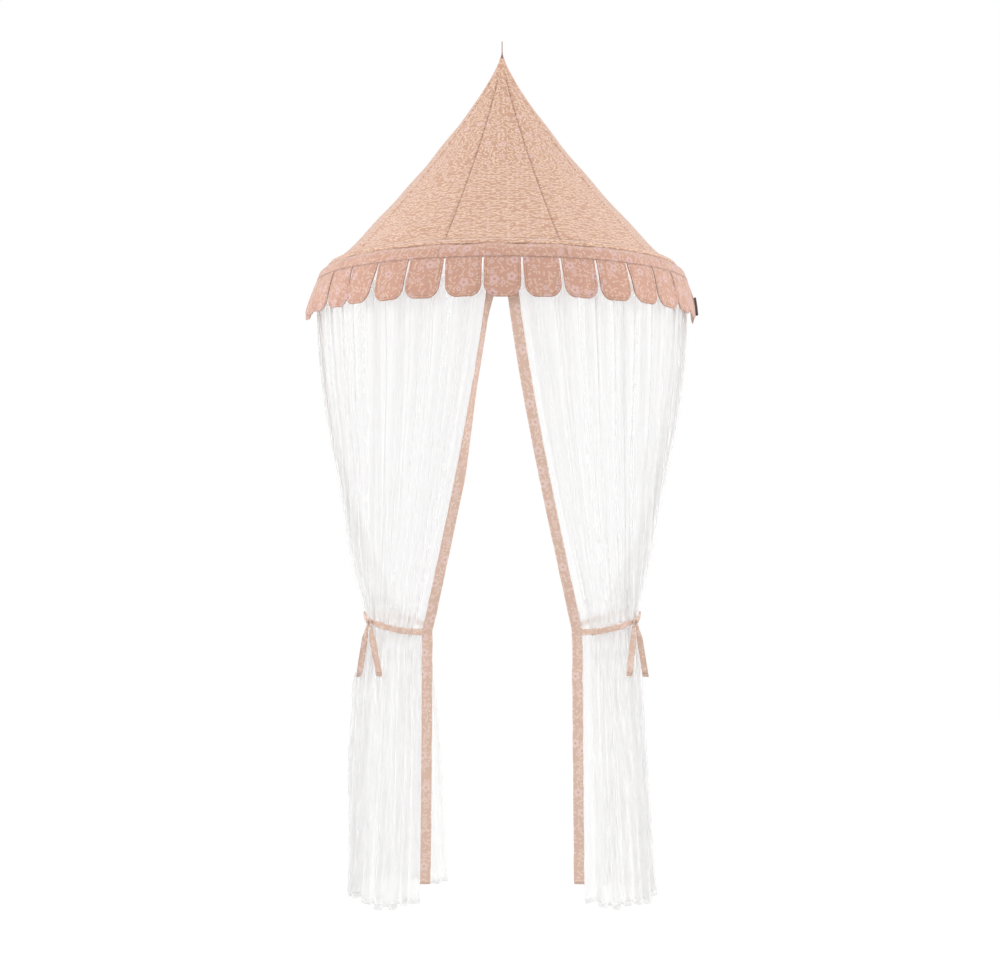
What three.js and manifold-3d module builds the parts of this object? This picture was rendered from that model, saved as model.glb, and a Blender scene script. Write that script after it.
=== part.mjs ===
// A half-round bed canopy that hangs from a hook and stands against the wall: a printed cotton
// roof of five gores over a rod hoop, a valance with scalloped tabs, and two sheer net curtains
// tied back with printed ribbons.
//
// Millimetres, +Z up. The front faces -Y and the wall is on the +Y side. The origin is the point
// where the hook bears, at the top of the hanging cord's loop. A drop is a depth below it.

import * as THREE from 'three';
import { mergeVertices } from 'three/addons/utils/BufferGeometryUtils.js';
import Module from 'manifold-3d';

const wasm = await Module();
wasm.setup();

// Fits that several pieces share
const seamGap = 0.3; // between pieces that are sewn or pressed together
const turnGap = 0.9; // above a piece that turns about its upper edge
const slideGap = 0.6; // between the hung net and the swaying net
const overrun = 1; // how far a cutter reaches past what it cuts
const weldTolerance = 1e-4;
const eaveMitre = 0.5; // the band starts this much later, because it leaves the eave at another slope

// Cloth
const cottonThickness = 1.6;
const netThickness = 1.6;
const tapeThickness = 2.4;
const ribbonThickness = 1.4;

// Roof
const tipDrop = 47;
const tipRadius = 6;
const goreCount = 5;
const roofHollowShare = 1.23; // 1 would be a straight cone
const roofRowShares = [0, 0.04, 0.11, 0.22, 0.36, 0.52, 0.68, 0.84, 1];

// Hoop, its sleeves and casing, and the rail along the wall
const hoopDrop = 655;
const hoopRadius = 472;
const rodDiameter = 8;
const rodClearance = 0.15;
const hoopRodCount = 3;
const ferruleWall = 2;
const tunnelSides = 8;
const facetAngle = Math.PI / 30; // the hoop and all that lies along it turn 6 degrees at each facet
const ferruleFacets = 2; // the length of a ferrule
const elbowFacets = 1; // the length of the elbow's socket for the hoop
const railSocketLength = 40;
const wallStandOff = 10; // from the rail's centre line to the wall
const wallPadRadius = 12;
const wallPadThickness = 7;

// Hanging cord, washer and stopper knot
const cordDiameter = 2.4;
const cordSetback = 2.9; // the cord hangs this far in front of the roof's back plane
const strandSpacing = 2.8;
const loopWidth = 10;
const washerDrop = 68;
const washerThickness = 2.5;
const knotRadius = 5;
const knotHeight = 12;
const knotForward = 8; // in front of the roof's back plane

// Valance, from the eave outward and down
const shoulderReach = 34;
const shoulderFall = 13;
const bandReach = 46;
const bandFall = 46;
const tabCount = 17;
const tabGap = 3;
const tabReach = 26;
const tabFall = 103;
const tabKneeReach = 17;
const tabKneeFall = 44;
const tabCornerRadius = 30;
const tabLift = 50; // degrees that a tab can be lifted
const labelWidth = 16;
const labelHeight = 42;
const labelThickness = 1.2;
const labelStart = 40; // down the tab from its seam

// Net curtains, given for the right-hand one
const headingHeight = 20;
const openingHalfGap = 32; // from the middle of the front to the net, at the heading
const tieDrop = 1648;
const hemDrop = 2357;
const foldCount = 12;
const bundleX = 273;
const bundleY = -290;
const bundleHalfWidth = 71;
const bundleHalfDepth = 54;
const bundleFold = 16; // folds stand out this far on each side of the bundle's outline
const hemX = 300;
const hemY = -260;
const hemHalfWidth = 93;
const hemHalfDepth = 110;
const hemFold = 20;
const bundleStart = THREE.MathUtils.degToRad(222); // round the bundle, from the opening edge
const bundleEnd = THREE.MathUtils.degToRad(470); // to the wall edge
const openingSwoopShare = 1.3; // how late the opening edge swings out to the tie
const wallSwoopShare = 2.2;
const skirtFlareShare = 1.15;
const foldGrowthShare = 0.4;
const hungRowShares = [0, 0.05, 0.13, 0.25, 0.4, 0.56, 0.72, 0.84];
const skirtRowShares = [0.06, 0.25, 0.6, 1];

// The curtain sways from a point above its tie. Hung net and swaying net meet on an arc round it.
const swayRadius = 400;
const swaySeamRise = 60; // the seam lies this far above the tie
const swayOutset = 36; // the swaying cloth's weight lies this far outside the bundle's centre

// Trims, ties and tails
const trimWidth = 28;
const trimRise = 50; // the trim ends this far above the hem
const ribbonWidth = 16;
const ribbonRaise = 40; // how much higher the ribbon passes behind the bundle
const ribbonLap = 4; // on the trim
const tieKnotFold = 5; // the knot sits on this fold, counted from the opening edge
const tieKnotWidth = 20;
const tieKnotHeight = 18;
const tieKnotDepth = 12;
const tailTopWidth = 8;
const tailFlareShare = 0.25;
const tailRowShares = [0, 0.12, 0.25, 0.5, 0.75, 1];
const tailGap = 1; // between the two tails, at the knot
const outerTailLength = 142;
const innerTailLength = 134;
const outerTailSplay = THREE.MathUtils.degToRad(9.5);
const innerTailSplay = THREE.MathUtils.degToRad(14);
const tailLean = 6; // how much further a tail's end stands off the net than its head

// Sizes that follow
const quarterTurn = Math.PI / 2;
const rodRadius = rodDiameter / 2;
const rodBore = rodRadius + rodClearance;
const ferruleRadius = rodBore + ferruleWall;
const casingBore = ferruleRadius + seamGap;
const casingRadius = casingBore + cottonThickness;
const eaveReach = (casingRadius + seamGap + cottonThickness / 2) * Math.SQRT1_2;
const eaveRadius = hoopRadius + eaveReach;
const eaveDrop = hoopDrop - eaveReach;
const backGap = cottonThickness / 2 + seamGap; // from the back panel's middle to what meets it
const tabRootRadius = eaveRadius + bandReach;
const bandEndDrop = eaveDrop + bandFall;
const tabRootDrop = bandEndDrop + turnGap;
const tabPitch = Math.PI / tabCount;
const bandEndSlope = new THREE.Vector2(bandReach - shoulderReach, bandFall - shoulderFall).normalize();
const tapeInset = cottonThickness / 2 + seamGap + tapeThickness / 2;
const headingRadius = tabRootRadius - bandEndSlope.y * tapeInset;
const headDrop = bandEndDrop + bandEndSlope.x * (tapeInset + tapeThickness / 2) + seamGap;
const openingAzimuth = Math.asin(openingHalfGap / headingRadius);
const wallAzimuth = quarterTurn - Math.asin((backGap + bundleFold / 2) / headingRadius);
const swayX = bundleX + swayOutset;
const swaySeamDrop = tieDrop - swaySeamRise;
const swayDrop = swaySeamDrop - swayRadius;
const ribbonStandOff = netThickness / 2 + seamGap + ribbonThickness / 2;
const knotStandOff = ribbonStandOff + ribbonThickness / 2 + seamGap + tieKnotDepth / 2;
const tieKnotShare = tieKnotFold / foldCount;

const materials = {
  print: new THREE.MeshStandardMaterial({ color: 0xdfb8a2, roughness: 0.9 }),
  net: new THREE.MeshStandardMaterial({ color: 0xf7f6f4, roughness: 0.95 }),
  tape: new THREE.MeshStandardMaterial({ color: 0xf0ece6, roughness: 0.9 }),
  cord: new THREE.MeshStandardMaterial({ color: 0xb98f7d, roughness: 0.85 }),
  rod: new THREE.MeshStandardMaterial({ color: 0xe8e8e6, roughness: 0.4, metalness: 0.2 }),
  plastic: new THREE.MeshStandardMaterial({ color: 0xf2f1ee, roughness: 0.5 }),
  label: new THREE.MeshStandardMaterial({ color: 0x4a4646, roughness: 0.9 }),
};

// Everything but the hanging loop is set out from the roof's back plane, just behind the cord.
const canopy = new THREE.Group();
canopy.position.y = cordSetback;
const model = new THREE.Group();
model.add(canopy);

function addPiece(name, geometry, material) {
  const mesh = new THREE.Mesh(geometry, material);
  mesh.name = name;
  canopy.add(mesh);
  return mesh;
}

function mix(from, to, share) {
  return from + (to - from) * share;
}

function evenShares(steps) {
  return Array.from({ length: steps + 1 }, (_, step) => step / steps);
}

// The ends of a stretch of the hoop and the facet edges between them
function facetStops(from, to) {
  const stops = [from];
  for (let edge = Math.ceil(from / facetAngle); edge * facetAngle < to; edge += 1) {
    stops.push(edge * facetAngle);
  }
  return [...stops, to];
}

// A point at a radius, an azimuth from the front and a drop below the hook
function around(radius, azimuth, drop) {
  return new THREE.Vector3(radius * Math.sin(azimuth), -radius * Math.cos(azimuth), -drop);
}

function signedVolume(positions, faces) {
  const corner = [new THREE.Vector3(), new THREE.Vector3(), new THREE.Vector3()];
  let volume = 0;
  for (let face = 0; face < faces.length; face += 3) {
    corner.forEach((point, k) => point.fromArray(positions, 3 * faces[face + k]));
    volume += corner[0].dot(corner[1].cross(corner[2])) / 6;
  }
  return volume;
}

function solidFrom(positions, faces) {
  if (signedVolume(positions, faces) < 0) faces.reverse();
  const geometry = new THREE.BufferGeometry();
  geometry.setAttribute('position', new THREE.Float32BufferAttribute(positions, 3));
  geometry.setIndex(faces);
  geometry.computeVertexNormals();
  return geometry;
}

// A closed sheet from a grid of vertices on its two faces: vertexAt(column, row, face), face 1 or -1
function closedGrid(columns, rows, vertexAt) {
  const positions = [];
  for (const face of [1, -1]) {
    for (let row = 0; row < rows; row += 1) {
      for (let column = 0; column < columns; column += 1) {
        positions.push(...vertexAt(column, row, face).toArray());
      }
    }
  }
  const back = rows * columns;
  const at = (column, row) => row * columns + column;
  const faces = [];
  const quad = (a, b, c, d) => faces.push(a, b, c, a, c, d); // both faces are split along the same diagonal
  for (let row = 0; row + 1 < rows; row += 1) {
    for (let column = 0; column + 1 < columns; column += 1) {
      const ring = [at(column, row), at(column + 1, row), at(column + 1, row + 1), at(column, row + 1)];
      quad(ring[0], ring[1], ring[2], ring[3]);
      quad(back + ring[2], back + ring[1], back + ring[0], back + ring[3]);
    }
  }
  for (let column = 0; column + 1 < columns; column += 1) {
    const top = [at(column, 0), at(column + 1, 0)];
    const foot = [at(column, rows - 1), at(column + 1, rows - 1)];
    quad(top[1], top[0], back + top[0], back + top[1]);
    quad(foot[0], foot[1], back + foot[1], back + foot[0]);
  }
  for (let row = 0; row + 1 < rows; row += 1) {
    const near = [at(0, row), at(0, row + 1)];
    const far = [at(columns - 1, row), at(columns - 1, row + 1)];
    quad(near[0], near[1], back + near[1], back + near[0]);
    quad(far[1], far[0], back + far[0], back + far[1]);
  }
  return solidFrom(positions, faces);
}

// A sheet of even thickness on pointAt(across, down), with its vertices at the given stops
function sheetOn(pointAt, acrossStops, downStops, thickness) {
  const step = 1e-4;
  return closedGrid(acrossStops.length, downStops.length, (column, row, face) => {
    const across = acrossStops[column];
    const down = downStops[row];
    const alongAcross = pointAt(across + step, down).sub(pointAt(across - step, down));
    const alongDown = pointAt(across, down + step).sub(pointAt(across, down - step));
    const normal = alongAcross.cross(alongDown).normalize();
    return pointAt(across, down).addScaledVector(normal, (face * thickness) / 2);
  });
}

function polygonPoints(radius, sides) {
  return Array.from({ length: sides }, (_, side) => {
    const angle = (side / sides) * 2 * Math.PI;
    return new THREE.Vector2(radius * Math.cos(angle), radius * Math.sin(angle));
  });
}

function roundSection(radius, bore = 0, sides = tunnelSides) {
  const shape = new THREE.Shape(polygonPoints(radius, sides));
  if (bore > 0) shape.holes.push(new THREE.Path(polygonPoints(bore, sides)));
  return shape;
}

function extrudeAlong(section, path, steps) {
  return new THREE.ExtrudeGeometry(section, { steps, extrudePath: path, bevelEnabled: false });
}

// The hoop's centre line between two azimuths
class HoopArc extends THREE.Curve {
  constructor(fromAzimuth, toAzimuth) {
    super();
    this.fromAzimuth = fromAzimuth;
    this.toAzimuth = toAzimuth;
  }

  getPoint(share, target = new THREE.Vector3()) {
    return target.copy(around(hoopRadius, mix(this.fromAzimuth, this.toAzimuth, share), hoopDrop));
  }
}

function toManifold(geometry) {
  const bare = geometry.clone();
  bare.deleteAttribute('normal');
  bare.deleteAttribute('uv');
  const merged = mergeVertices(bare, weldTolerance);
  return new wasm.Manifold(new wasm.Mesh({
    numProp: 3,
    vertProperties: new Float32Array(merged.attributes.position.array),
    triVerts: new Uint32Array(merged.index.array),
  }));
}

function fromManifold(solid) {
  const mesh = solid.getMesh();
  const positions = [];
  for (let vertex = 0; vertex < mesh.numVert; vertex += 1) {
    positions.push(...mesh.vertProperties.slice(vertex * mesh.numProp, vertex * mesh.numProp + 3));
  }
  return solidFrom(positions, Array.from(mesh.triVerts));
}

function mirrored(geometry) {
  const bare = geometry.clone();
  bare.deleteAttribute('normal');
  bare.deleteAttribute('uv');
  const merged = bare.index ? bare : mergeVertices(bare, weldTolerance);
  merged.scale(-1, 1, 1);
  return solidFrom(Array.from(merged.attributes.position.array), Array.from(merged.index.array));
}

// The right-hand piece as modelled and the left-hand one as its mirror image
function addPair(name, geometry, material) {
  return {
    right: addPiece(`${name}_right`, geometry, material),
    left: addPiece(`${name}_left`, mirrored(geometry), material),
  };
}

// Notes on a piece where it turns, and about which line
function setHinge(mesh, point, axis) {
  mesh.userData.hinge = { point: point.clone().add(canopy.position), axis };
}

// Roof

function roofRadius(drop) {
  const share = Math.max(0, (drop - tipDrop) / (eaveDrop - tipDrop));
  return tipRadius + (eaveRadius - tipRadius) * share ** roofHollowShare;
}

function roofGore(index) {
  const goreAngle = Math.PI / goreCount;
  const first = index === 0;
  const last = index === goreCount - 1;
  const start = -quarterTurn + index * goreAngle;
  const pointAt = (across, down) => {
    const drop = mix(tipDrop, eaveDrop, down);
    const radius = roofRadius(drop);
    const from = start + Math.asin((first ? backGap : seamGap / 2) / radius);
    const to = start + goreAngle - Math.asin((last ? backGap : seamGap / 2) / radius);
    return around(radius, mix(from, to, across), drop);
  };
  const columns = Math.round(goreAngle / facetAngle);
  return sheetOn(pointAt, evenShares(columns), roofRowShares, cottonThickness);
}

function roofBackPanel() {
  const footDrop = hoopDrop - casingRadius - seamGap;
  const pointAt = (across, down) => {
    const drop = mix(tipDrop, footDrop, down);
    const halfWidth = roofRadius(drop);
    return new THREE.Vector3(mix(-halfWidth, halfWidth, across), 0, -drop);
  };
  return sheetOn(pointAt, evenShares(1), roofRowShares, cottonThickness);
}

for (let index = 0; index < goreCount; index += 1) {
  addPiece(`roof_gore_${index + 1}`, roofGore(index), materials.print);
}
addPiece('roof_back_panel', roofBackPanel(), materials.print);

// Hanging cord: up one strand, round the hook and down the other. The strands leave the tip side by
// side, and the loop stands edge on to the front.

function cordPath() {
  const bearing = cordDiameter / 2; // the hook bears under the cord, so its centre line is this much higher
  const tipY = -cordSetback;
  const footY = -knotForward;
  const footDrop = washerDrop + washerThickness / 2;
  const strand = (side) => {
    const strandX = (side * strandSpacing) / 2;
    const loopY = tipY - (side * loopWidth) / 2;
    return [
      new THREE.Vector3(strandX, footY, -footDrop),
      new THREE.Vector3(strandX, footY, -washerDrop),
      new THREE.Vector3(strandX, tipY, -tipDrop),
      new THREE.Vector3(0, loopY, -tipDrop / 2),
      new THREE.Vector3(0, loopY, -loopWidth / 2),
    ];
  };
  const top = new THREE.Vector3(0, tipY, bearing);
  return new THREE.CatmullRomCurve3([...strand(1), top, ...strand(-1).reverse()], false, 'centripetal');
}

function washer() {
  const radius = roofRadius(washerDrop) - cottonThickness - seamGap;
  const edgeAngle = Math.asin(backGap / radius);
  const outline = new THREE.Shape();
  outline.absarc(0, 0, radius, Math.PI + edgeAngle, 2 * Math.PI - edgeAngle, false);
  outline.closePath();
  const holeHalfWidth = strandSpacing / 2 + cordDiameter / 2 + seamGap;
  const holeHalfDepth = cordDiameter / 2 + seamGap;
  const slot = new THREE.Path([
    new THREE.Vector2(-holeHalfWidth, -knotForward - holeHalfDepth),
    new THREE.Vector2(holeHalfWidth, -knotForward - holeHalfDepth),
    new THREE.Vector2(holeHalfWidth, -knotForward + holeHalfDepth),
    new THREE.Vector2(-holeHalfWidth, -knotForward + holeHalfDepth),
  ]);
  outline.holes.push(slot);
  const plate = new THREE.ExtrudeGeometry(outline, {
    depth: washerThickness, bevelEnabled: false, curveSegments: 8,
  });
  return plate.translate(0, 0, -washerDrop - washerThickness);
}

// A stopper knot: two fat wraps with a waist between them
function stopperKnot(radius, height) {
  const waistShare = 0.78;
  const profile = [
    new THREE.Vector2(0, -height / 2),
    new THREE.Vector2(radius * waistShare, -height / 2),
    new THREE.Vector2(radius, -height / 4),
    new THREE.Vector2(radius * waistShare, 0),
    new THREE.Vector2(radius, height / 4),
    new THREE.Vector2(radius * waistShare, height / 2),
    new THREE.Vector2(0, height / 2),
  ];
  return new THREE.LatheGeometry(profile, 12).rotateX(quarterTurn);
}

addPiece('hanging_cord', extrudeAlong(roundSection(cordDiameter / 2), cordPath(), 24), materials.cord);
addPiece('apex_washer', washer(), materials.plastic);
const cordKnot = addPiece('cord_knot', stopperKnot(knotRadius, knotHeight), materials.cord);
cordKnot.position.set(0, -knotForward, -washerDrop - washerThickness - seamGap - knotHeight / 2);

// Hoop: bent rods, the ferrules over their joints, and the casing that hides both

const socketAzimuth = quarterTurn - elbowFacets * facetAngle;

function hoopRod(index) {
  const rodAngle = Math.PI / hoopRodCount;
  const endGap = seamGap / 2 / hoopRadius;
  const from = -quarterTurn + index * rodAngle;
  const path = new HoopArc(from + endGap, from + rodAngle - endGap);
  return extrudeAlong(roundSection(rodRadius), path, Math.round(rodAngle / facetAngle));
}

function ferrule(azimuth) {
  const halfAngle = (ferruleFacets * facetAngle) / 2;
  const path = new HoopArc(azimuth - halfAngle, azimuth + halfAngle);
  return extrudeAlong(roundSection(ferruleRadius, rodBore), path, ferruleFacets);
}

function hoopCasing() {
  const end = socketAzimuth - seamGap / hoopRadius;
  const steps = Math.round((2 * end) / facetAngle);
  return extrudeAlong(roundSection(casingRadius, casingBore), new HoopArc(-end, end), steps);
}

// A corner: a curved socket for the hoop, a straight one for the rail and a pad on the wall
function cornerElbow() {
  const corner = new THREE.Vector3(hoopRadius, 0, -hoopDrop);
  const socketEnd = new THREE.Vector3(hoopRadius - railSocketLength, 0, -hoopDrop);
  const hoopSocket = extrudeAlong(
    roundSection(casingRadius), new HoopArc(socketAzimuth, quarterTurn), elbowFacets,
  );
  const railSocket = extrudeAlong(roundSection(casingRadius), new THREE.LineCurve3(socketEnd, corner), 1);
  const core = new THREE.CylinderGeometry(casingRadius, casingRadius, casingRadius + wallStandOff, 16);
  core.translate(hoopRadius, (wallStandOff - casingRadius) / 2, -hoopDrop);
  const pad = new THREE.CylinderGeometry(wallPadRadius, wallPadRadius, wallPadThickness, 24);
  pad.translate(hoopRadius, wallStandOff - wallPadThickness / 2, -hoopDrop);
  const hoopBore = extrudeAlong(
    roundSection(rodBore), new HoopArc(socketAzimuth - overrun / hoopRadius, quarterTurn), elbowFacets,
  );
  const railMouth = socketEnd.clone().setX(socketEnd.x - overrun);
  const railBorePath = new THREE.LineCurve3(railMouth, corner);
  const railBore = extrudeAlong(roundSection(rodBore), railBorePath, 1);
  const body = [railSocket, core, pad].reduce(
    (joined, piece) => joined.add(toManifold(piece)), toManifold(hoopSocket),
  );
  return fromManifold(body.subtract(toManifold(hoopBore)).subtract(toManifold(railBore)));
}

function alongRail(reach) {
  const end = new THREE.Vector3(reach, 0, -hoopDrop);
  return new THREE.LineCurve3(end.clone().setX(-reach), end);
}

['left', 'front', 'right'].forEach((side, index) => {
  addPiece(`hoop_rod_${side}`, hoopRod(index), materials.rod);
});
const ferruleAzimuth = quarterTurn - Math.PI / hoopRodCount;
addPair('hoop_ferrule', ferrule(ferruleAzimuth), materials.plastic);
addPiece('hoop_casing', hoopCasing(), materials.print);
const railReach = hoopRadius - rodRadius - seamGap;
const railCasingReach = hoopRadius - railSocketLength - seamGap;
addPiece('back_rail', extrudeAlong(roundSection(rodRadius), alongRail(railReach), 1), materials.rod);
addPiece(
  'back_rail_casing',
  extrudeAlong(roundSection(casingRadius, casingBore), alongRail(railCasingReach), 1),
  materials.print,
);
addPair('corner_elbow', cornerElbow(), materials.plastic);

// Valance band and tabs

const bandProfile = new THREE.QuadraticBezierCurve(
  new THREE.Vector2(eaveRadius, eaveDrop),
  new THREE.Vector2(eaveRadius + shoulderReach, eaveDrop + shoulderFall),
  new THREE.Vector2(tabRootRadius, bandEndDrop),
);
const tabProfile = new THREE.QuadraticBezierCurve(
  new THREE.Vector2(tabRootRadius, tabRootDrop),
  new THREE.Vector2(tabRootRadius + tabKneeReach, tabRootDrop + tabKneeFall),
  new THREE.Vector2(tabRootRadius + tabReach, tabRootDrop + tabFall),
);

const bandStartShare = (seamGap + eaveMitre) / bandProfile.getLength();
const headingShare = 1 - headingHeight / bandProfile.getLength();
const bandEndAzimuth = quarterTurn - Math.asin(backGap / eaveRadius);

// The direction of a profile in radius and drop
function slopeOf(profile, share) {
  const start = profile.v1.clone().sub(profile.v0);
  const end = profile.v2.clone().sub(profile.v1);
  return start.lerp(end, share).normalize();
}

function valanceBand() {
  const pointAt = (azimuth, share) => {
    const { x: radius, y: drop } = bandProfile.getPoint(share);
    return around(radius, azimuth, drop);
  };
  const downStops = [bandStartShare, mix(bandStartShare, headingShare, 0.5), headingShare, 1];
  return sheetOn(pointAt, facetStops(-bandEndAzimuth, bandEndAzimuth), downStops, cottonThickness);
}

// A tab's rows: straight sides first, then the rounded corners to the flat foot
function tabRows() {
  const cornerSteps = 3;
  const cornerShare = tabCornerRadius / tabProfile.getLength();
  const rows = [
    { down: 0, drawIn: 0 },
    { down: (1 - cornerShare) / 2, drawIn: 0 },
  ];
  for (let step = 0; step <= cornerSteps; step += 1) {
    const angle = (step / cornerSteps) * quarterTurn;
    rows.push({
      down: 1 - cornerShare + cornerShare * Math.sin(angle),
      drawIn: tabCornerRadius * (1 - Math.cos(angle)),
    });
  }
  return rows;
}

function valanceTab(azimuth) {
  const rows = tabRows();
  const acrossShares = evenShares(3);
  return closedGrid(acrossShares.length, rows.length, (column, row, face) => {
    const { down, drawIn } = rows[row];
    const { x: radius, y: drop } = tabProfile.getPoint(down);
    const slope = slopeOf(tabProfile, down);
    const halfAngle = tabPitch / 2 - (tabGap / 2 + drawIn) / radius;
    const lateral = mix(-halfAngle, halfAngle, acrossShares[column]);
    const offset = (face * cottonThickness) / 2;
    return around(radius + slope.y * offset, azimuth + lateral, drop - slope.x * offset);
  });
}

// The label is a flat loop that stands out from the rear edge of a tab
function sideLabel(azimuth) {
  const length = tabProfile.getLength();
  const edge = azimuth + tabPitch / 2 - (tabGap / 2 + labelThickness) / tabRootRadius;
  const pointAt = (across, down) => {
    const share = (labelStart + labelHeight * down) / length;
    const { x: radius, y: drop } = tabProfile.getPoint(share);
    const slope = slopeOf(tabProfile, share);
    const reach = cottonThickness / 2 + seamGap + labelWidth * across;
    return around(radius + slope.y * reach, edge, drop - slope.x * reach);
  };
  return sheetOn(pointAt, evenShares(1), evenShares(2), labelThickness);
}

function azimuthOfTab(index) {
  return -quarterTurn + (index + 0.5) * tabPitch;
}

addPiece('valance_band', valanceBand(), materials.print);
for (let index = 0; index < tabCount; index += 1) {
  const azimuth = azimuthOfTab(index);
  const number = String(index + 1).padStart(2, '0');
  const tab = addPiece(`valance_tab_${number}`, valanceTab(azimuth), materials.print);
  const liftAxis = new THREE.Vector3(-Math.cos(azimuth), -Math.sin(azimuth), 0);
  setHinge(tab, around(tabRootRadius, azimuth, tabRootDrop), liftAxis);
  tab.userData.liftDegrees = tabLift;
}
addPiece('side_label', sideLabel(azimuthOfTab(tabCount - 1)), materials.label);

// Net curtains. A width share runs from the opening edge, 0, to the wall edge, 1.

function ellipsePoint(x, y, halfWidth, halfDepth, width) {
  const angle = mix(bundleStart, bundleEnd, width);
  return new THREE.Vector3(x + halfWidth * Math.cos(angle), y + halfDepth * Math.sin(angle), 0);
}

// The curtain's outline in plan at a drop, without its folds
function curtainOutline(width, drop) {
  const tie = ellipsePoint(bundleX, bundleY, bundleHalfWidth, bundleHalfDepth, width);
  if (drop <= tieDrop) {
    const fall = Math.max(0, (drop - headDrop) / (tieDrop - headDrop));
    const swoop = mix(openingSwoopShare, wallSwoopShare, width);
    const head = around(headingRadius, mix(openingAzimuth, wallAzimuth, width), 0);
    return head.lerp(tie, fall ** swoop).setZ(-drop);
  }
  const fall = (drop - tieDrop) / (hemDrop - tieDrop);
  const hem = ellipsePoint(hemX, hemY, hemHalfWidth, hemHalfDepth, width);
  return tie.lerp(hem, fall ** skirtFlareShare).setZ(-drop);
}

function foldDepth(drop) {
  if (drop <= tieDrop) {
    const fall = Math.max(0, (drop - headDrop) / (tieDrop - headDrop));
    return bundleFold * fall ** foldGrowthShare;
  }
  const fall = (drop - tieDrop) / (hemDrop - tieDrop);
  return mix(bundleFold, hemFold, fall);
}

function planDirection(pointAt, width) {
  const step = 1e-4;
  return pointAt(width + step).sub(pointAt(width - step)).setZ(0).normalize();
}

function outwardFrom(direction) {
  return new THREE.Vector3(direction.y, -direction.x, 0);
}

// A point a distance outside the curtain's outline
function offOutline(width, drop, distance) {
  const direction = planDirection((share) => curtainOutline(share, drop), width);
  return curtainOutline(width, drop).addScaledVector(outwardFrom(direction), distance);
}

function foldedPoint(width, drop) {
  return offOutline(width, drop, foldDepth(drop) * Math.cos(2 * Math.PI * foldCount * width));
}

// The length of one whole width share along the tops of the folds, measured at one place
function outlineLength(width, drop) {
  const step = 1e-3;
  const ends = [width - step, width + step].map((share) => offOutline(share, drop, foldDepth(drop)));
  return ends[0].distanceTo(ends[1]) / (2 * step);
}

// The trim carries on from the net's opening edge, without folds
function trimPoint(across, drop) {
  const reach = seamGap + trimWidth * across;
  return offOutline(-reach / outlineLength(0, drop), drop, foldDepth(drop));
}

// Moves a hanging point onto the arc where the hung and the swaying parts meet
function onSwayArc(pointAtDrop, radius) {
  let point = pointAtDrop(swaySeamDrop);
  for (let turn = 0; turn < 4; turn += 1) {
    point = pointAtDrop(swayDrop + Math.sqrt(radius ** 2 - (point.x - swayX) ** 2));
  }
  return point;
}

// A hanging sheet on pointAt(across, drop). A row is a drop, or { arc } for one on the sway arc.
function hangingSheet(pointAt, acrossShares, rows, thickness) {
  return closedGrid(acrossShares.length, rows.length, (column, row, face) => {
    const across = acrossShares[column];
    const faceAtDrop = (drop) => {
      const direction = planDirection((share) => pointAt(share, drop), across);
      return pointAt(across, drop).addScaledVector(outwardFrom(direction), (face * thickness) / 2);
    };
    if (rows[row].arc) return onSwayArc(faceAtDrop, rows[row].arc);
    return faceAtDrop(rows[row]);
  });
}

const netColumns = evenShares(foldCount * 4);
const hungDrops = hungRowShares.map((share) => mix(headDrop, tieDrop, share));
const hungFoot = { arc: swayRadius };
const swayHead = { arc: swayRadius + slideGap };
const skirtDrops = skirtRowShares.map((share) => mix(tieDrop, hemDrop, share));
const trimFoot = hemDrop - trimRise;

function headingTape() {
  const pointAt = (azimuth, share) => {
    const { x: radius, y: drop } = bandProfile.getPoint(share);
    const slope = slopeOf(bandProfile, share);
    return around(radius - slope.y * tapeInset, azimuth, drop + slope.x * tapeInset);
  };
  const middle = seamGap / 2 / headingRadius;
  return sheetOn(pointAt, facetStops(middle, bandEndAzimuth), [headingShare, 1], tapeThickness);
}

const hungRows = [...hungDrops, hungFoot];
const swayRows = [swayHead, tieDrop, ...skirtDrops];
const trimSwayRows = [swayHead, tieDrop, ...skirtDrops.filter((drop) => drop < trimFoot), trimFoot];
const trimColumns = evenShares(2);

addPair('heading_tape', headingTape(), materials.tape);
addPair('net_upper', hangingSheet(foldedPoint, netColumns, hungRows, netThickness), materials.net);
const skirtNet = hangingSheet(foldedPoint, netColumns, swayRows, netThickness);
const netLower = addPair('net_lower', skirtNet, materials.net);
addPair('trim_upper', hangingSheet(trimPoint, trimColumns, hungRows, cottonThickness), materials.print);
addPair('trim_lower', hangingSheet(trimPoint, trimColumns, trimSwayRows, cottonThickness), materials.print);
setHinge(netLower.right, new THREE.Vector3(swayX, 0, -swayDrop), new THREE.Vector3(0, 1, 0));
setHinge(netLower.left, new THREE.Vector3(-swayX, 0, -swayDrop), new THREE.Vector3(0, 1, 0));

// Ties: the ribbon lies on the bundle, low at the opening edge and higher behind

const ribbonStart = -ribbonLap / outlineLength(0, tieDrop);
const roundBundle = (2 * Math.PI) / (bundleEnd - bundleStart);
const ribbonEnd = roundBundle - (trimWidth + seamGap * 2) / outlineLength(roundBundle, tieDrop);
const lengthAtKnot = outlineLength(tieKnotShare, tieDrop);

function ribbonDrop(width) {
  const turn = Math.PI * THREE.MathUtils.clamp(width / ribbonEnd, 0, 1);
  return tieDrop - ribbonRaise * Math.sin(turn) ** 2;
}

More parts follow.
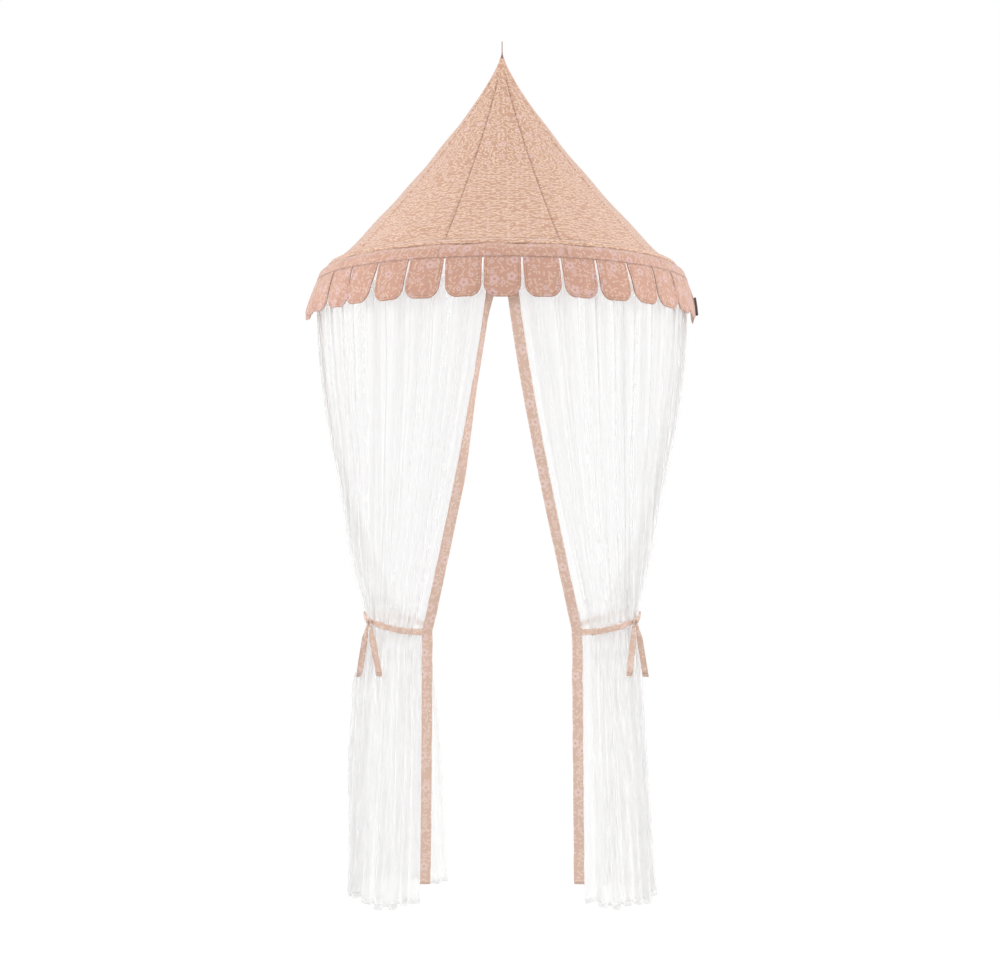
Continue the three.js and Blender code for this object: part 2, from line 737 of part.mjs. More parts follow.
// The ribbon bends over the top of each fold, and at the same pitch round the bundle's open side
function tieRibbon() {
  const shares = [ribbonStart];
  for (let fold = 0; fold < ribbonEnd * foldCount; fold += 1) shares.push(fold / foldCount);
  shares.push(ribbonEnd);
  return closedGrid(shares.length, 2, (column, row, face) => {
    const width = shares[column];
    const drop = ribbonDrop(width) + (row - 0.5) * ribbonWidth;
    const distance = foldDepth(drop) + ribbonStandOff + (face * ribbonThickness) / 2;
    return offOutline(width, drop, distance);
  });
}

const knotDrop = ribbonDrop(tieKnotShare);

function knotCentre() {
  return offOutline(tieKnotShare, knotDrop, foldDepth(knotDrop) + knotStandOff);
}

function outwardAtKnot() {
  return outwardFrom(planDirection((share) => curtainOutline(share, knotDrop), tieKnotShare));
}

// The ribbon's knot is a flattened pillow, fullest over the top of the fold
function tieKnot() {
  const radius = tieKnotHeight / 2;
  const endShare = 0.6;
  const flankShare = 0.92;
  const profile = [
    new THREE.Vector2(0, -tieKnotWidth / 2),
    new THREE.Vector2(radius * endShare, -tieKnotWidth / 2),
    new THREE.Vector2(radius * flankShare, -tieKnotWidth / 4),
    new THREE.Vector2(radius, 0),
    new THREE.Vector2(radius * flankShare, tieKnotWidth / 4),
    new THREE.Vector2(radius * endShare, tieKnotWidth / 2),
    new THREE.Vector2(0, tieKnotWidth / 2),
  ];
  const knot = new THREE.LatheGeometry(profile, 12).rotateX(quarterTurn).rotateY(quarterTurn);
  knot.scale(1, tieKnotDepth / tieKnotHeight, 1);
  const outward = outwardAtKnot();
  knot.rotateZ(Math.atan2(outward.y, outward.x) + quarterTurn);
  const centre = knotCentre();
  return knot.translate(centre.x, centre.y, centre.z);
}

// One tail: it hangs from the knot's underside and splays toward or away from the opening
function tailPoint(side, length, splay, across, down) {
  const head = knotDrop + tieKnotHeight / 2 + seamGap;
  const drop = head + down * length * Math.cos(splay);
  const width = mix(tailTopWidth, ribbonWidth, Math.min(1, Math.max(0, down) / tailFlareShare));
  const middle = tailGap / 2 + tailTopWidth / 2 + down * length * Math.sin(splay);
  const spread = (width - tailTopWidth) / 2;
  const lateral = side * (middle + spread) + (across - 0.5) * width;
  const distance = foldDepth(drop) + knotStandOff + Math.max(0, down) * tailLean;
  return offOutline(tieKnotShare + lateral / lengthAtKnot, drop, distance);
}

// A tail swings about the knot's long axis
function addTails(name, side, length, splay) {
  const pointAt = (across, down) => tailPoint(side, length, splay, across, down);
  const tail = sheetOn(pointAt, evenShares(2), tailRowShares, ribbonThickness);
  const tails = addPair(name, tail, materials.print);
  const outward = outwardAtKnot();
  const centre = knotCentre();
  setHinge(tails.right, centre, new THREE.Vector3(outward.y, -outward.x, 0));
  const mirroredCentre = new THREE.Vector3(-centre.x, centre.y, centre.z);
  setHinge(tails.left, mirroredCentre, new THREE.Vector3(outward.y, outward.x, 0));
}

addPair('tie_ribbon', tieRibbon(), materials.print);
addPair('tie_knot', tieKnot(), materials.print);
addTails('tie_tail_outer', 1, outerTailLength, outerTailSplay);
addTails('tie_tail_inner', -1, innerTailLength, innerTailSplay);

export default model;
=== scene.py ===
"""A half-round bed canopy dressed for a picture: printed cotton roof and valance over a rod hoop,
two sheer net curtains with printed bindings, and printed ribbons that tie them back.

Metres, +Z up. The front faces -Y and the wall is on the +Y side. The origin is the point where
the hook bears. A drop is a depth below it. Left-hand pieces mirror the right-hand outlines, with
folds and creases of their own."""

import math
import random

import bpy
import numpy as np
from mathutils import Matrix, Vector


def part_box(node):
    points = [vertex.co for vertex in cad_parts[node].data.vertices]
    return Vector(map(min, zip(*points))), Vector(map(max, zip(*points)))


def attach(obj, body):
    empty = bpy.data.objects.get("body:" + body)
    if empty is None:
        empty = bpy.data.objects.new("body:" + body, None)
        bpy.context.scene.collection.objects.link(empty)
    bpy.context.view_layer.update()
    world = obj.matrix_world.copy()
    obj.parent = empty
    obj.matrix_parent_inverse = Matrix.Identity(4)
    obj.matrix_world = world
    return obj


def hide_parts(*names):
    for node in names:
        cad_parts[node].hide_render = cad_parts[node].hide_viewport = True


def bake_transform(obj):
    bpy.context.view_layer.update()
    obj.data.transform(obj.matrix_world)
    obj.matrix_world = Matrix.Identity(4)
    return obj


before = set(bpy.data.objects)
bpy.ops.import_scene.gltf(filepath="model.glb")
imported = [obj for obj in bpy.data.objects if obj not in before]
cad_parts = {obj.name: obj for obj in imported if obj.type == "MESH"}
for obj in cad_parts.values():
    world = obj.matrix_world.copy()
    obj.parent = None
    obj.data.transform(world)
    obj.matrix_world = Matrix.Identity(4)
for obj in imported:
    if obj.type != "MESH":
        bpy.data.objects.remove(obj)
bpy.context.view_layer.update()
bpy.ops.object.select_all(action="DESELECT")
scene = bpy.context.scene

# Camera, from the photograph's frame
IMAGE_WIDTH = 1000
FOCAL_PIXELS = 1400
SENSOR_WIDTH = 36.0
CAMERA_PLACE = (-0.006, -4.0, -1.251)

# Cloth
SEAM_GAP = 0.0003
TURN_GAP = 0.0009
COTTON_THICKNESS = 0.0016
NET_THICKNESS = 0.0005
RIBBON_THICKNESS = 0.0014
TAPE_THICKNESS = 0.0024

# Roof
BACK_PLANE_Y = 0.0029
TIP_DROP = 0.047
TIP_RADIUS = 0.006
GORE_COUNT = 5
ROOF_HOLLOW_SHARE = 1.23

# Hoop, rail and their casings
HOOP_DROP = 0.655
HOOP_RADIUS = 0.472
CASING_RADIUS = 0.00805
ROLL_STEPS = 16
ROLL_FOOT_SHARE = 0.30
RAIL_CASING_REACH = 0.4317
SOCKET_AZIMUTH = math.radians(84)
EAVE_REACH = (CASING_RADIUS + SEAM_GAP + COTTON_THICKNESS / 2) * math.sqrt(0.5)
EAVE_RADIUS = HOOP_RADIUS + EAVE_REACH
EAVE_DROP = HOOP_DROP - EAVE_REACH

# Hanging cord: its strands leave the tip side by side, and the loop stands edge on to the front
CORD_DIAMETER = 0.0024
STRAND_HALF_SPACING = 0.0014
LOOP_HALF_WIDTH = 0.005
KNOT_Y = -0.0051
CORD_TOP = (0.0, 0.0, 0.0012)

# Valance, from the eave outward and down
SHOULDER = (0.034, 0.013)
BAND_END = (0.046, 0.046)
TAB_COUNT = 17
TAB_GAP = 0.003
TAB_KNEE = (0.017, 0.044)
TAB_FOOT = (0.026, 0.103)
TAB_CORNER_RADIUS = 0.030
LABEL_WIDTH = 0.020
LABEL_HEIGHT = 0.042
LABEL_START = 0.040

# How each tab hangs, from the left end to the right: how far its foot swings out, how far it turns
# to the right, how much its sides curl out, how far its foot leans along the valance, and how
# steeply its foot runs down to the rear
TAB_SWINGS = (0.000, 0.002, 0.003, -0.002, 0.004, 0.002, 0.000, 0.003, -0.001,
              0.002, 0.004, 0.001, 0.003, -0.002, -0.004, -0.006, -0.008)
TAB_TURNS_DEG = (-15, -10, -8, -4, 3, 4, -4, 3, -2, 3, -4, 4, -3, 4, 5, 5, -4)
TAB_CURLS = (0.002, 0.001, 0.001, -0.002, 0.003, 0.002, 0.002, -0.001, 0.002,
             0.002, 0.002, -0.002, 0.002, 0.002, 0.002, 0.001, 0.002)
TAB_LEANS = (0.000, 0.000, 0.000, 0.001, -0.003, 0.000, -0.005, 0.003, 0.000,
             0.001, -0.001, 0.002, 0.000, 0.001, 0.002, 0.002, 0.002)
TAB_SLANTS = {12: 0.04, 13: 0.08, 14: 0.16, 15: 0.22, 16: 0.36}

# Net curtains, given for the right-hand one
HEADING_HEIGHT = 0.020
OPENING_HALF_GAP = 0.032
TIE_DROP = 1.648
HEM_DROP = 2.357
FOLD_COUNT = 12
BUNDLE_CENTRE = (0.273, -0.290)
BUNDLE_HALF = (0.071, 0.054)
BUNDLE_FOLD = 0.016
HEM_CENTRE = (0.300, -0.260)
HEM_HALF = (0.093, 0.110)
HEM_FOLD = 0.020
BUNDLE_START = math.radians(222)
BUNDLE_END = math.radians(470)
OPENING_SWOOP_SHARE = 1.3
WALL_SWOOP_SHARE = 2.2
SKIRT_FLARE_SHARE = 1.15
FOLD_GROWTH_SHARE = 0.4
NET_FLAT_WIDTH = 0.98

# How far each curtain bells out on its outer side, above its tie and below it, and how far the
# left one spreads behind the opening and lifts at its hem
HANG_SWELLS = {"left": 0.018, "right": 0.007}
SKIRT_SWELLS = {"left": 0.042, "right": 0.013}
LEFT_REAR_SPREAD = 0.108
LEFT_HEM_LIFT = 0.026

# Trims, ties and tails
TRIM_WIDTH = 0.028
TRIM_RISE = 0.050
RIBBON_WIDTH = 0.016
RIBBON_RAISE = 0.040
RIBBON_LAP = 0.004
KNOT_FOLD = 5
KNOT_WIDTH = 0.020
KNOT_HEIGHT = 0.018
KNOT_DEPTH = 0.012
TAIL_TOP_WIDTH = 0.008
TAIL_GAP = 0.001
TAIL_LEAN = 0.006
TAILS = {
    "outer": {"side": 1, "length": 0.142, "splay": math.radians(9.5)},
    "inner": {"side": -1, "length": 0.134, "splay": math.radians(14)},
}

# Turned edges: how thick the cloth is at the very edge, what the turned part adds and how far it
# rounds over, and the stitched groove along it: its depth, width and place from the edge
TURNED_EDGES = {
    "tab": {"edge": 0.0007, "turned": 0.0024, "radius": 0.0022,
            "depth": 0.0017, "width": 0.0011, "place": 0.0068},
    "trim": {"edge": 0.0006, "turned": 0.0018, "radius": 0.0014,
             "depth": 0.0013, "width": 0.0009, "place": 0.0034},
    "ribbon": {"edge": 0.0005, "turned": 0.0011, "radius": 0.0012,
               "depth": 0.0007, "width": 0.0008, "place": 0.0028},
    "tail": {"edge": 0.0005, "turned": 0.0010, "radius": 0.0012,
             "depth": 0.0006, "width": 0.0008, "place": 0.0028},
}

# Sizes that follow
QUARTER_TURN = math.pi / 2
BACK_GAP = COTTON_THICKNESS / 2 + SEAM_GAP
TAB_ROOT_RADIUS = EAVE_RADIUS + BAND_END[0]
BAND_END_DROP = EAVE_DROP + BAND_END[1]
TAB_ROOT_DROP = BAND_END_DROP + TURN_GAP
TAB_PITCH = math.pi / TAB_COUNT
TAB_HALF_WIDTH = TAB_PITCH * TAB_ROOT_RADIUS / 2 - TAB_GAP / 2
VALANCE_END = QUARTER_TURN - math.asin(BACK_GAP / EAVE_RADIUS)
BAND_END_SLOPE = Vector((BAND_END[0] - SHOULDER[0], BAND_END[1] - SHOULDER[1])).normalized()
TAPE_INSET = COTTON_THICKNESS / 2 + SEAM_GAP + TAPE_THICKNESS / 2
HEADING_RADIUS = TAB_ROOT_RADIUS - BAND_END_SLOPE.y * TAPE_INSET
HEAD_DROP = BAND_END_DROP + BAND_END_SLOPE.x * (TAPE_INSET + TAPE_THICKNESS / 2) + SEAM_GAP
OPENING_AZIMUTH = math.asin(OPENING_HALF_GAP / HEADING_RADIUS)
WALL_AZIMUTH = QUARTER_TURN - math.asin((BACK_GAP + BUNDLE_FOLD / 2) / HEADING_RADIUS)
RIBBON_STAND_OFF = 0.0018
KNOT_STAND_OFF = RIBBON_STAND_OFF + RIBBON_THICKNESS / 2 + SEAM_GAP + KNOT_DEPTH / 2
KNOT_SHARE = KNOT_FOLD / FOLD_COUNT


def set_camera():
    data = bpy.data.cameras.new("camera")
    data.sensor_fit = "HORIZONTAL"
    data.sensor_width = SENSOR_WIDTH
    data.lens = FOCAL_PIXELS * SENSOR_WIDTH / IMAGE_WIDTH
    camera = bpy.data.objects.new("camera", data)
    camera.location = CAMERA_PLACE
    camera.rotation_euler = (QUARTER_TURN, 0, 0)
    scene.collection.objects.link(camera)
    scene.camera = camera


# Small helpers for grids of points


def mix(low, high, share):
    return low + (high - low) * share


def smooth_step(value, low, high):
    share = np.clip((value - low) / (high - low), 0, 1)
    return share * share * (3 - 2 * share)


def bell(distance, width):
    """1 at no distance, falling away over a width on both sides."""
    return np.exp(-((distance / width) ** 2))


def rounded(from_edge, radius):
    """How full a turned edge is: 0 at the edge, 1 past its radius."""
    return np.sqrt(np.clip(1 - (1 - np.clip(from_edge / radius, 0, 1)) ** 2, 0, 1))


def crowded_shares(count, crowding):
    """Shares from 0 to 1, closer together toward both ends."""
    even = np.linspace(0, 1, count)
    return mix(even, (1 - np.cos(math.pi * even)) / 2, crowding)


def turned_edge(kind, from_edge):
    """The thickness of cloth with a turned edge, and how deep in its stitched groove a place is."""
    shape = TURNED_EDGES[kind]
    groove = bell(from_edge - shape["place"], shape["width"])
    turned = shape["turned"] * rounded(from_edge, shape["radius"])
    return shape["edge"] + turned - shape["depth"] * groove, groove


def around(radius, azimuth, drop):
    """Points at a radius, an azimuth from the front and a drop, about the canopy's upright axis."""
    radius, azimuth, drop = np.broadcast_arrays(radius, azimuth, drop)
    return np.stack([radius * np.sin(azimuth), BACK_PLANE_Y - radius * np.cos(azimuth), -drop], axis=-1)


def bezier(start, middle, end, share):
    share = np.asarray(share)[..., None]
    start, middle, end = (np.array(point) for point in (start, middle, end))
    return (1 - share) ** 2 * start + 2 * share * (1 - share) * middle + share**2 * end


def bezier_slope(start, middle, end, share):
    share = np.asarray(share)[..., None]
    start, middle, end = (np.array(point) for point in (start, middle, end))
    slope = (1 - share) * (middle - start) + share * (end - middle)
    return slope / np.linalg.norm(slope, axis=-1, keepdims=True)


def off_profile(profile, slope, distance):
    """Radius and drop of the points at a distance outward from a profile."""
    return profile[..., 0] + slope[..., 1] * distance, profile[..., 1] - slope[..., 0] * distance


def path_lengths(points, axis):
    """How far along its grid line each point lies."""
    steps = np.linalg.norm(np.diff(points, axis=axis), axis=-1)
    lengths = np.cumsum(steps, axis=axis)
    start = np.zeros_like(np.take(lengths, [0], axis=axis))
    return np.concatenate([start, lengths], axis=axis)


class Ripples:
    """A smooth wave of mixed lengths that never repeats along a piece, between about -1 and 1.
    The lengths are in the unit of the place that it is asked for, metres or a share."""

    def __init__(self, seed, shortest, longest, count=5):
        draw = random.Random(seed)
        self.parts = []
        for _ in range(count):
            rate = 2 * math.pi / draw.uniform(shortest, longest)
            self.parts.append((rate, draw.uniform(0, 2 * math.pi), draw.uniform(0.5, 1)))
        self.total = sum(height for _, _, height in self.parts)

    def __call__(self, place):
        waves = sum(height * np.sin(rate * place + phase) for rate, phase, height in self.parts)
        return waves * 1.6 / self.total


def for_side(points, side):
    """Points given for the right-hand side, mirrored if the side is the left."""
    return points * np.array([-1, 1, 1]) if side == "left" else points


def cloth_uvs(across, down, shift=(0.0, 0.0)):
    """Places on the cloth in metres, shifted so that each piece shows its own stretch of the print."""
    return np.stack(np.broadcast_arrays(across, down), axis=-1) + np.array(shift)


# Meshes


def new_piece(name, positions, faces, smooth, uvs, material, body, replaced):
    mesh = bpy.data.meshes.new(name)
    mesh.from_pydata(positions.tolist(), [], faces)
    layer = mesh.uv_layers.new(name="cloth")
    corners = np.empty(len(mesh.loops), dtype=np.int32)
    mesh.loops.foreach_get("vertex_index", corners)
    layer.data.foreach_set("uv", uvs[corners].astype(np.float32).ravel())
    mesh.polygons.foreach_set("use_smooth", smooth)
    mesh.materials.append(material)
    piece = bpy.data.objects.new(name, mesh)
    scene.collection.objects.link(piece)
    if body:
        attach(piece, body)
    if replaced:
        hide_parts(*replaced)
    return piece


def grid_normals(points):
    along = np.gradient(points, axis=1)
    down = np.gradient(points, axis=0)
    normals = np.cross(along, down)
    lengths = np.linalg.norm(normals, axis=-1, keepdims=True)
    return normals / np.maximum(lengths, 1e-12)


def closed_grid_faces(rows, columns):
    """Quads of two grids of points, front and back, and of the rim between them."""
    index = np.arange(rows * columns).reshape(rows, columns)
    back = rows * columns
    near = index[:-1, :-1].ravel()
    right = index[:-1, 1:].ravel()
    far = index[1:, 1:].ravel()
    below = index[1:, :-1].ravel()
    front_faces = np.stack([near, right, far, below], axis=1)
    back_faces = np.stack([near, below, far, right], axis=1) + back
    rim = np.concatenate([index[0, :], index[1:, -1], index[-1, -2::-1], index[-2:0:-1, 0]])
    following = np.roll(rim, -1)
    rim_faces = np.stack([following, rim, rim + back, following + back], axis=1)
    return np.concatenate([front_faces, back_faces, rim_faces])


def signed_volume(positions, faces):
    a, b, c, d = (positions[faces[:, corner]] for corner in range(4))
    first = np.einsum("ij,ij->i", a, np.cross(b, c))
    second = np.einsum("ij,ij->i", a, np.cross(c, d))
    return (first.sum() + second.sum()) / 6


def cloth_sheet(name, points, uvs, thickness, material, body, replaced=(), soft_rim=False):
    """A closed piece of cloth on a grid of points. thickness may differ from point to point.
    With no body, the piece is left unattached."""
    rows, columns, _ = points.shape
    offset = grid_normals(points) * (np.broadcast_to(thickness, (rows, columns))[..., None] / 2)
    positions = np.concatenate([(points + offset).reshape(-1, 3), (points - offset).reshape(-1, 3)])
    faces = closed_grid_faces(rows, columns)
    if signed_volume(positions, faces) < 0:
        faces = faces[:, ::-1]
    both_uvs = np.tile(uvs.reshape(-1, 2), (2, 1))
    smooth = np.ones(len(faces), dtype=bool)
    piece = new_piece(name, positions, faces.tolist(), smooth, both_uvs, material, body, replaced)
    if not soft_rim:
        mark_rim_sharp(piece.data, rows * columns)
    return piece


def mark_rim_sharp(mesh, back):
    """Makes the edges between a face of the cloth and its rim sharp."""
    ends = np.empty(2 * len(mesh.edges), dtype=np.int32)
    mesh.edges.foreach_get("vertices", ends)
    ends = ends.reshape(-1, 2)
    crossing = (ends[:, 0] < back) != (ends[:, 1] < back)
    on_rim = np.zeros(len(mesh.vertices), dtype=bool)
    on_rim[ends[crossing].ravel()] = True
    sharp = on_rim[ends].all(axis=1) & ~crossing
    mesh.edges.foreach_set("use_edge_sharp", sharp)


def tube_faces(rings, sides):
    """Quads of a tube of rings, without its ends."""
    index = np.arange(rings * sides).reshape(rings, sides)
    turned = np.roll(index, -1, axis=1)
    quads = [index[:-1].ravel(), turned[:-1].ravel(), turned[1:].ravel(), index[1:].ravel()]
    return np.stack(quads, axis=1)


def soft_tube(name, rings, uvs, material, body, replaced=()):
    """A closed tube of rings of points, rings[ring, side], with a flat fan over each end."""
    ring_count, sides, _ = rings.shape
    ends = np.stack([rings[0].mean(axis=0), rings[-1].mean(axis=0)])
    positions = np.concatenate([rings.reshape(-1, 3), ends])
    quads = tube_faces(ring_count, sides)
    side = np.arange(sides)
    after = np.roll(side, -1)
    first = np.full(sides, ring_count * sides)
    last_ring = (ring_count - 1) * sides
    first_fan = np.stack([after, side, first], axis=1)
    last_fan = np.stack([last_ring + side, last_ring + after, first + 1], axis=1)
    faces = quads.tolist() + first_fan.tolist() + last_fan.tolist()
    if signed_volume(positions, quads) < 0:
        faces = [face[::-1] for face in faces]
    flat_uvs = uvs.reshape(-1, 2)
    all_uvs = np.concatenate([flat_uvs, flat_uvs[:1], flat_uvs[-1:]])
    smooth = np.arange(len(faces)) < len(quads)
    return new_piece(name, positions, faces, smooth, all_uvs, material, body, replaced)


def store_share(piece, name, shares):
    """Keeps a share from 0 to 1 at each point of a piece, for its material to read. The shares
    start again where there are more points, such as those of a sheet's second face."""
    attribute = piece.data.attributes.new(name, "FLOAT", "POINT")
    values = np.clip(shares, 0, 1).astype(np.float32).ravel()
    attribute.data.foreach_set("value", np.resize(values, len(piece.data.vertices)))


# Materials


def srgb(red, green, blue, alpha=1.0):
    """A colour written as the eye sees it, 0 to 255, for a shader socket."""
    channels = []
    for value in (red, green, blue):
        share = value / 255
        channels.append(share / 12.92 if share <= 0.04045 else ((share + 0.055) / 1.055) ** 2.4)
    return (*channels, alpha)


class Graph:
    """Adds and joins the nodes of one shader tree."""

    def __init__(self, tree):
        self.tree = tree

    def add(self, kind, **settings):
        node = self.tree.nodes.new(kind)
        for name, value in settings.items():
            setattr(node, name, value)
        return node

    def feed(self, socket, value):
        if isinstance(value, bpy.types.NodeSocket):
            self.tree.links.new(value, socket)
        else:
            socket.default_value = value

    def math(self, operation, *values):
        node = self.add("ShaderNodeMath", operation=operation)
        for socket, value in zip(node.inputs, values):
            self.feed(socket, value)
        return node.outputs[0]

    def vector(self, operation, *values):
        node = self.add("ShaderNodeVectorMath", operation=operation)
        for socket, value in zip(node.inputs, values):
            self.feed(socket, value)
        return node

    def blend(self, share, first, second):
        node = self.add("ShaderNodeMix", data_type="RGBA")
        self.feed(node.inputs["Factor"], share)
        self.feed(node.inputs[6], first)
        self.feed(node.inputs[7], second)
        return node.outputs[2]

    def times(self, value, factor, base=0.0):
        """The value times a factor, and a base added, in one node."""
        return self.math("MULTIPLY_ADD", value, factor, base)

    def wave(self, value, length):
        return self.math("SINE", self.math("MULTIPLY", value, 2 * math.pi / length))

    def stored(self, name):
        """A share that the mesh keeps at its points."""
        return self.add("ShaderNodeAttribute", attribute_name=name).outputs["Fac"]

    def within(self, value, limit, softness):
        """1 where a value is under a limit, falling to 0 over the softness past it."""
        node = self.add("ShaderNodeMapRange", interpolation_type="SMOOTHSTEP")
        self.feed(node.inputs["Value"], value)
        self.feed(node.inputs["From Min"], limit)
        upper = self.math("ADD", limit, softness)
        self.feed(node.inputs["From Max"], upper)
        node.inputs["To Min"].default_value = 1
        node.inputs["To Max"].default_value = 0
        return node.outputs[0]

    def past(self, value, limit, softness):
        """0 where a value is under a limit, rising to 1 over the softness past it."""
        return self.math("SUBTRACT", 1.0, self.within(value, limit, softness))

    def split(self, vector):
        node = self.add("ShaderNodeSeparateXYZ")
        self.feed(node.inputs[0], vector)
        return node.outputs[0], node.outputs[1], node.outputs[2]

    def join(self, x, y, z=0.0):
        node = self.add("ShaderNodeCombineXYZ")
        for socket, value in zip(node.inputs, (x, y, z)):
            self.feed(socket, value)
        return node.outputs[0]

    def noise(self, place, scale, detail=2.0, roughness=0.5):
        node = self.add("ShaderNodeTexNoise")
        self.feed(node.inputs["Vector"], place)
        node.inputs["Scale"].default_value = scale
        node.inputs["Detail"].default_value = detail
        node.inputs["Roughness"].default_value = roughness
        return node.outputs["Fac"]

    def cells(self, place, size, scatter):
        """Scattered points about a size apart: where each one lies from here, and its own colour."""
        node = self.add("ShaderNodeTexVoronoi", voronoi_dimensions="2D")
        self.feed(node.inputs["Vector"], place)
        node.inputs["Scale"].default_value = 1 / size
        node.inputs["Randomness"].default_value = scatter
        local = self.vector("SUBTRACT", place, node.outputs["Position"]).outputs[0]
        return local, node.outputs["Color"]


def new_group(name, inputs, outputs):
    tree = bpy.data.node_groups.new(name, "ShaderNodeTree")
    for label, kind in inputs:
        tree.interface.new_socket(label, in_out="INPUT", socket_type=kind)
    for label, kind in outputs:
        tree.interface.new_socket(label, in_out="OUTPUT", socket_type=kind)
    graph = Graph(tree)
    source = graph.add("NodeGroupInput").outputs
    target = graph.add("NodeGroupOutput").inputs
    return graph, source, target


def ditsy_print_group(name, flowers, buds, dots, sprigs, leaves):
    """Scattered flowers, buds, dots and curved strokes on a plain ground, in metres of cloth.
    The strokes lie level where Level is 1 and any way where it is 0."""
    graph, source, target = new_group(
        name,
        [("Place", "NodeSocketVector"), ("Level", "NodeSocketFloat"), ("Ground", "NodeSocketColor"),
         ("Sprig", "NodeSocketColor"), ("Petal", "NodeSocketColor"), ("Heart", "NodeSocketColor")],
        [("Color", "NodeSocketColor"), ("Printed", "NodeSocketFloat")],
    )
    place = source["Place"]
    whole_turn, level_turn, petal_count = 2 * math.pi, 0.75, 5
    turn_range = graph.times(source["Level"], level_turn - whole_turn, whole_turn)

    def rosette(spacing, radius, kept_share):
        local, own = graph.cells(place, spacing, 0.8)
        pick, turn, _ = graph.split(own)
        x, y, _ = graph.split(local)
        angle = graph.times(turn, whole_turn, graph.math("ARCTAN2", y, x))
        waves = graph.math("ABSOLUTE", graph.math("COSINE", graph.times(angle, petal_count / 2)))
        reach = graph.times(waves, radius * 0.34, radius * 0.56)
        distance = graph.vector("LENGTH", local).outputs["Value"]
        kept = graph.math("LESS_THAN", pick, kept_share)
        limits = ((reach, 0.3), (radius * 0.16, 0.16), (radius * 1.1, 0.2))
        masks = [graph.within(distance, limit, radius * softness) for limit, softness in limits]
        return [graph.math("MULTIPLY", mask, kept) for mask in masks]

    def strokes(spacing, half_length, half_width, bow, kept_share):
        stretch, core, softness = 1.5, 0.45, 0.9
        narrowed = graph.vector("MULTIPLY", place, (1 / stretch, 1.0, 1.0)).outputs[0]
        local, own = graph.cells(narrowed, spacing, 0.85)
        widened = graph.vector("MULTIPLY", local, (stretch, 1.0, 1.0)).outputs[0]
        pick, turn, _ = graph.split(own)
        rotate = graph.add("ShaderNodeVectorRotate", rotation_type="Z_AXIS")
        graph.feed(rotate.inputs["Vector"], widened)
        off_level = graph.math("SUBTRACT", turn, 0.5)
        graph.feed(rotate.inputs["Angle"], graph.math("MULTIPLY", off_level, turn_range))
        x, y, _ = graph.split(rotate.outputs[0])
        bent = graph.times(graph.math("MULTIPLY", x, x), bow / half_length**2, y)
        along = graph.math("POWER", graph.math("DIVIDE", x, half_length), 2.0)
        across = graph.math("POWER", graph.math("DIVIDE", bent, half_width), 2.0)
        shape = graph.within(graph.math("ADD", along, across), core, softness)
        return graph.math("MULTIPLY", shape, graph.math("LESS_THAN", pick, kept_share))

    petals, heart, halo = rosette(*flowers)
    fading = graph.times(source["Level"], -0.7, 1.0)
    petals, heart, halo = (graph.math("MULTIPLY", mask, fading) for mask in (petals, heart, halo))
    bud_petals, bud_heart, bud_halo = rosette(*buds)
    dot_petals, _, _ = rosette(*dots)
    clear = graph.math("SUBTRACT", 1.0, graph.math("MAXIMUM", halo, bud_halo))
    sprays = graph.math("MULTIPLY", graph.math("MAXIMUM", strokes(*sprigs), strokes(*leaves)), clear)
    specks = graph.math("MULTIPLY", dot_petals, clear)
    colour = graph.blend(sprays, source["Ground"], source["Sprig"])
    colour = graph.blend(specks, colour, source["Sprig"])
    colour = graph.blend(bud_petals, colour, source["Petal"])
    colour = graph.blend(petals, colour, source["Petal"])
    colour = graph.blend(graph.math("MAXIMUM", heart, bud_heart), colour, source["Heart"])
    graph.feed(target["Color"], colour)
    strokes_and_dots = graph.math("MAXIMUM", sprays, specks)
    blooms = graph.math("MAXIMUM", petals, bud_petals)
    graph.feed(target["Printed"], graph.math("MAXIMUM", strokes_and_dots, blooms))
    return graph.tree


def cotton_weave_group():
    """Plain weave with thick and thin yarns and faint creases."""
    graph, source, target = new_group(
        "cotton weave",
        [("Place", "NodeSocketVector")],
        [("Height", "NodeSocketFloat"), ("Yarn", "NodeSocketFloat"), ("Wear", "NodeSocketFloat")],
    )
    yarn_pitch, yarn_stretch, yarn_scale = 0.0009, 8.0, 160.0
    place = source["Place"]
    x, y, _ = graph.split(place)
    weave = graph.math("MULTIPLY", graph.wave(x, yarn_pitch), graph.wave(y, yarn_pitch))
    slubs_across = graph.noise(graph.join(graph.times(x, yarn_stretch), y), yarn_scale)
    slubs_down = graph.noise(graph.join(x, graph.times(y, yarn_stretch)), yarn_scale)
    slubs = graph.math("MULTIPLY", slubs_across, slubs_down)
    creases = graph.noise(place, 22.0, 4.0, 0.6)
    fine = graph.times(weave, 0.12, graph.times(slubs, 0.8))
    graph.feed(target["Height"], graph.times(creases, 1.4, fine))
    graph.feed(target["Yarn"], slubs)
    graph.feed(target["Wear"], creases)
    return graph.tree


def new_material(name, **constants):
    """A material with a Principled BSDF, and the constants that its sockets hold."""
    material = bpy.data.materials.new(name)
    material.use_nodes = True
    shader = material.node_tree.nodes["Principled BSDF"]
    for label, value in constants.items():
        shader.inputs[label.replace("_", " ")].default_value = value
    return material, Graph(material.node_tree), shader


def raise_surface(graph, shader, height, strength, distance):
    bump = graph.add("ShaderNodeBump")
    bump.inputs["Strength"].default_value = strength
    bump.inputs["Distance"].default_value = distance
    graph.feed(bump.inputs["Height"], height)
    graph.feed(shader.inputs["Normal"], bump.outputs[0])


def use_group(graph, tree, **values):
    node = graph.add("ShaderNodeGroup", node_tree=tree)
    for label, value in values.items():
        graph.feed(node.inputs[label], value)
    return node


def cloth_place(graph):
    return graph.add("ShaderNodeUVMap", uv_map="cloth").outputs[0]


def two_tone(graph, shader, share, low, high):
    graph.feed(shader.inputs["Base Color"], graph.blend(share, srgb(*low), srgb(*high)))


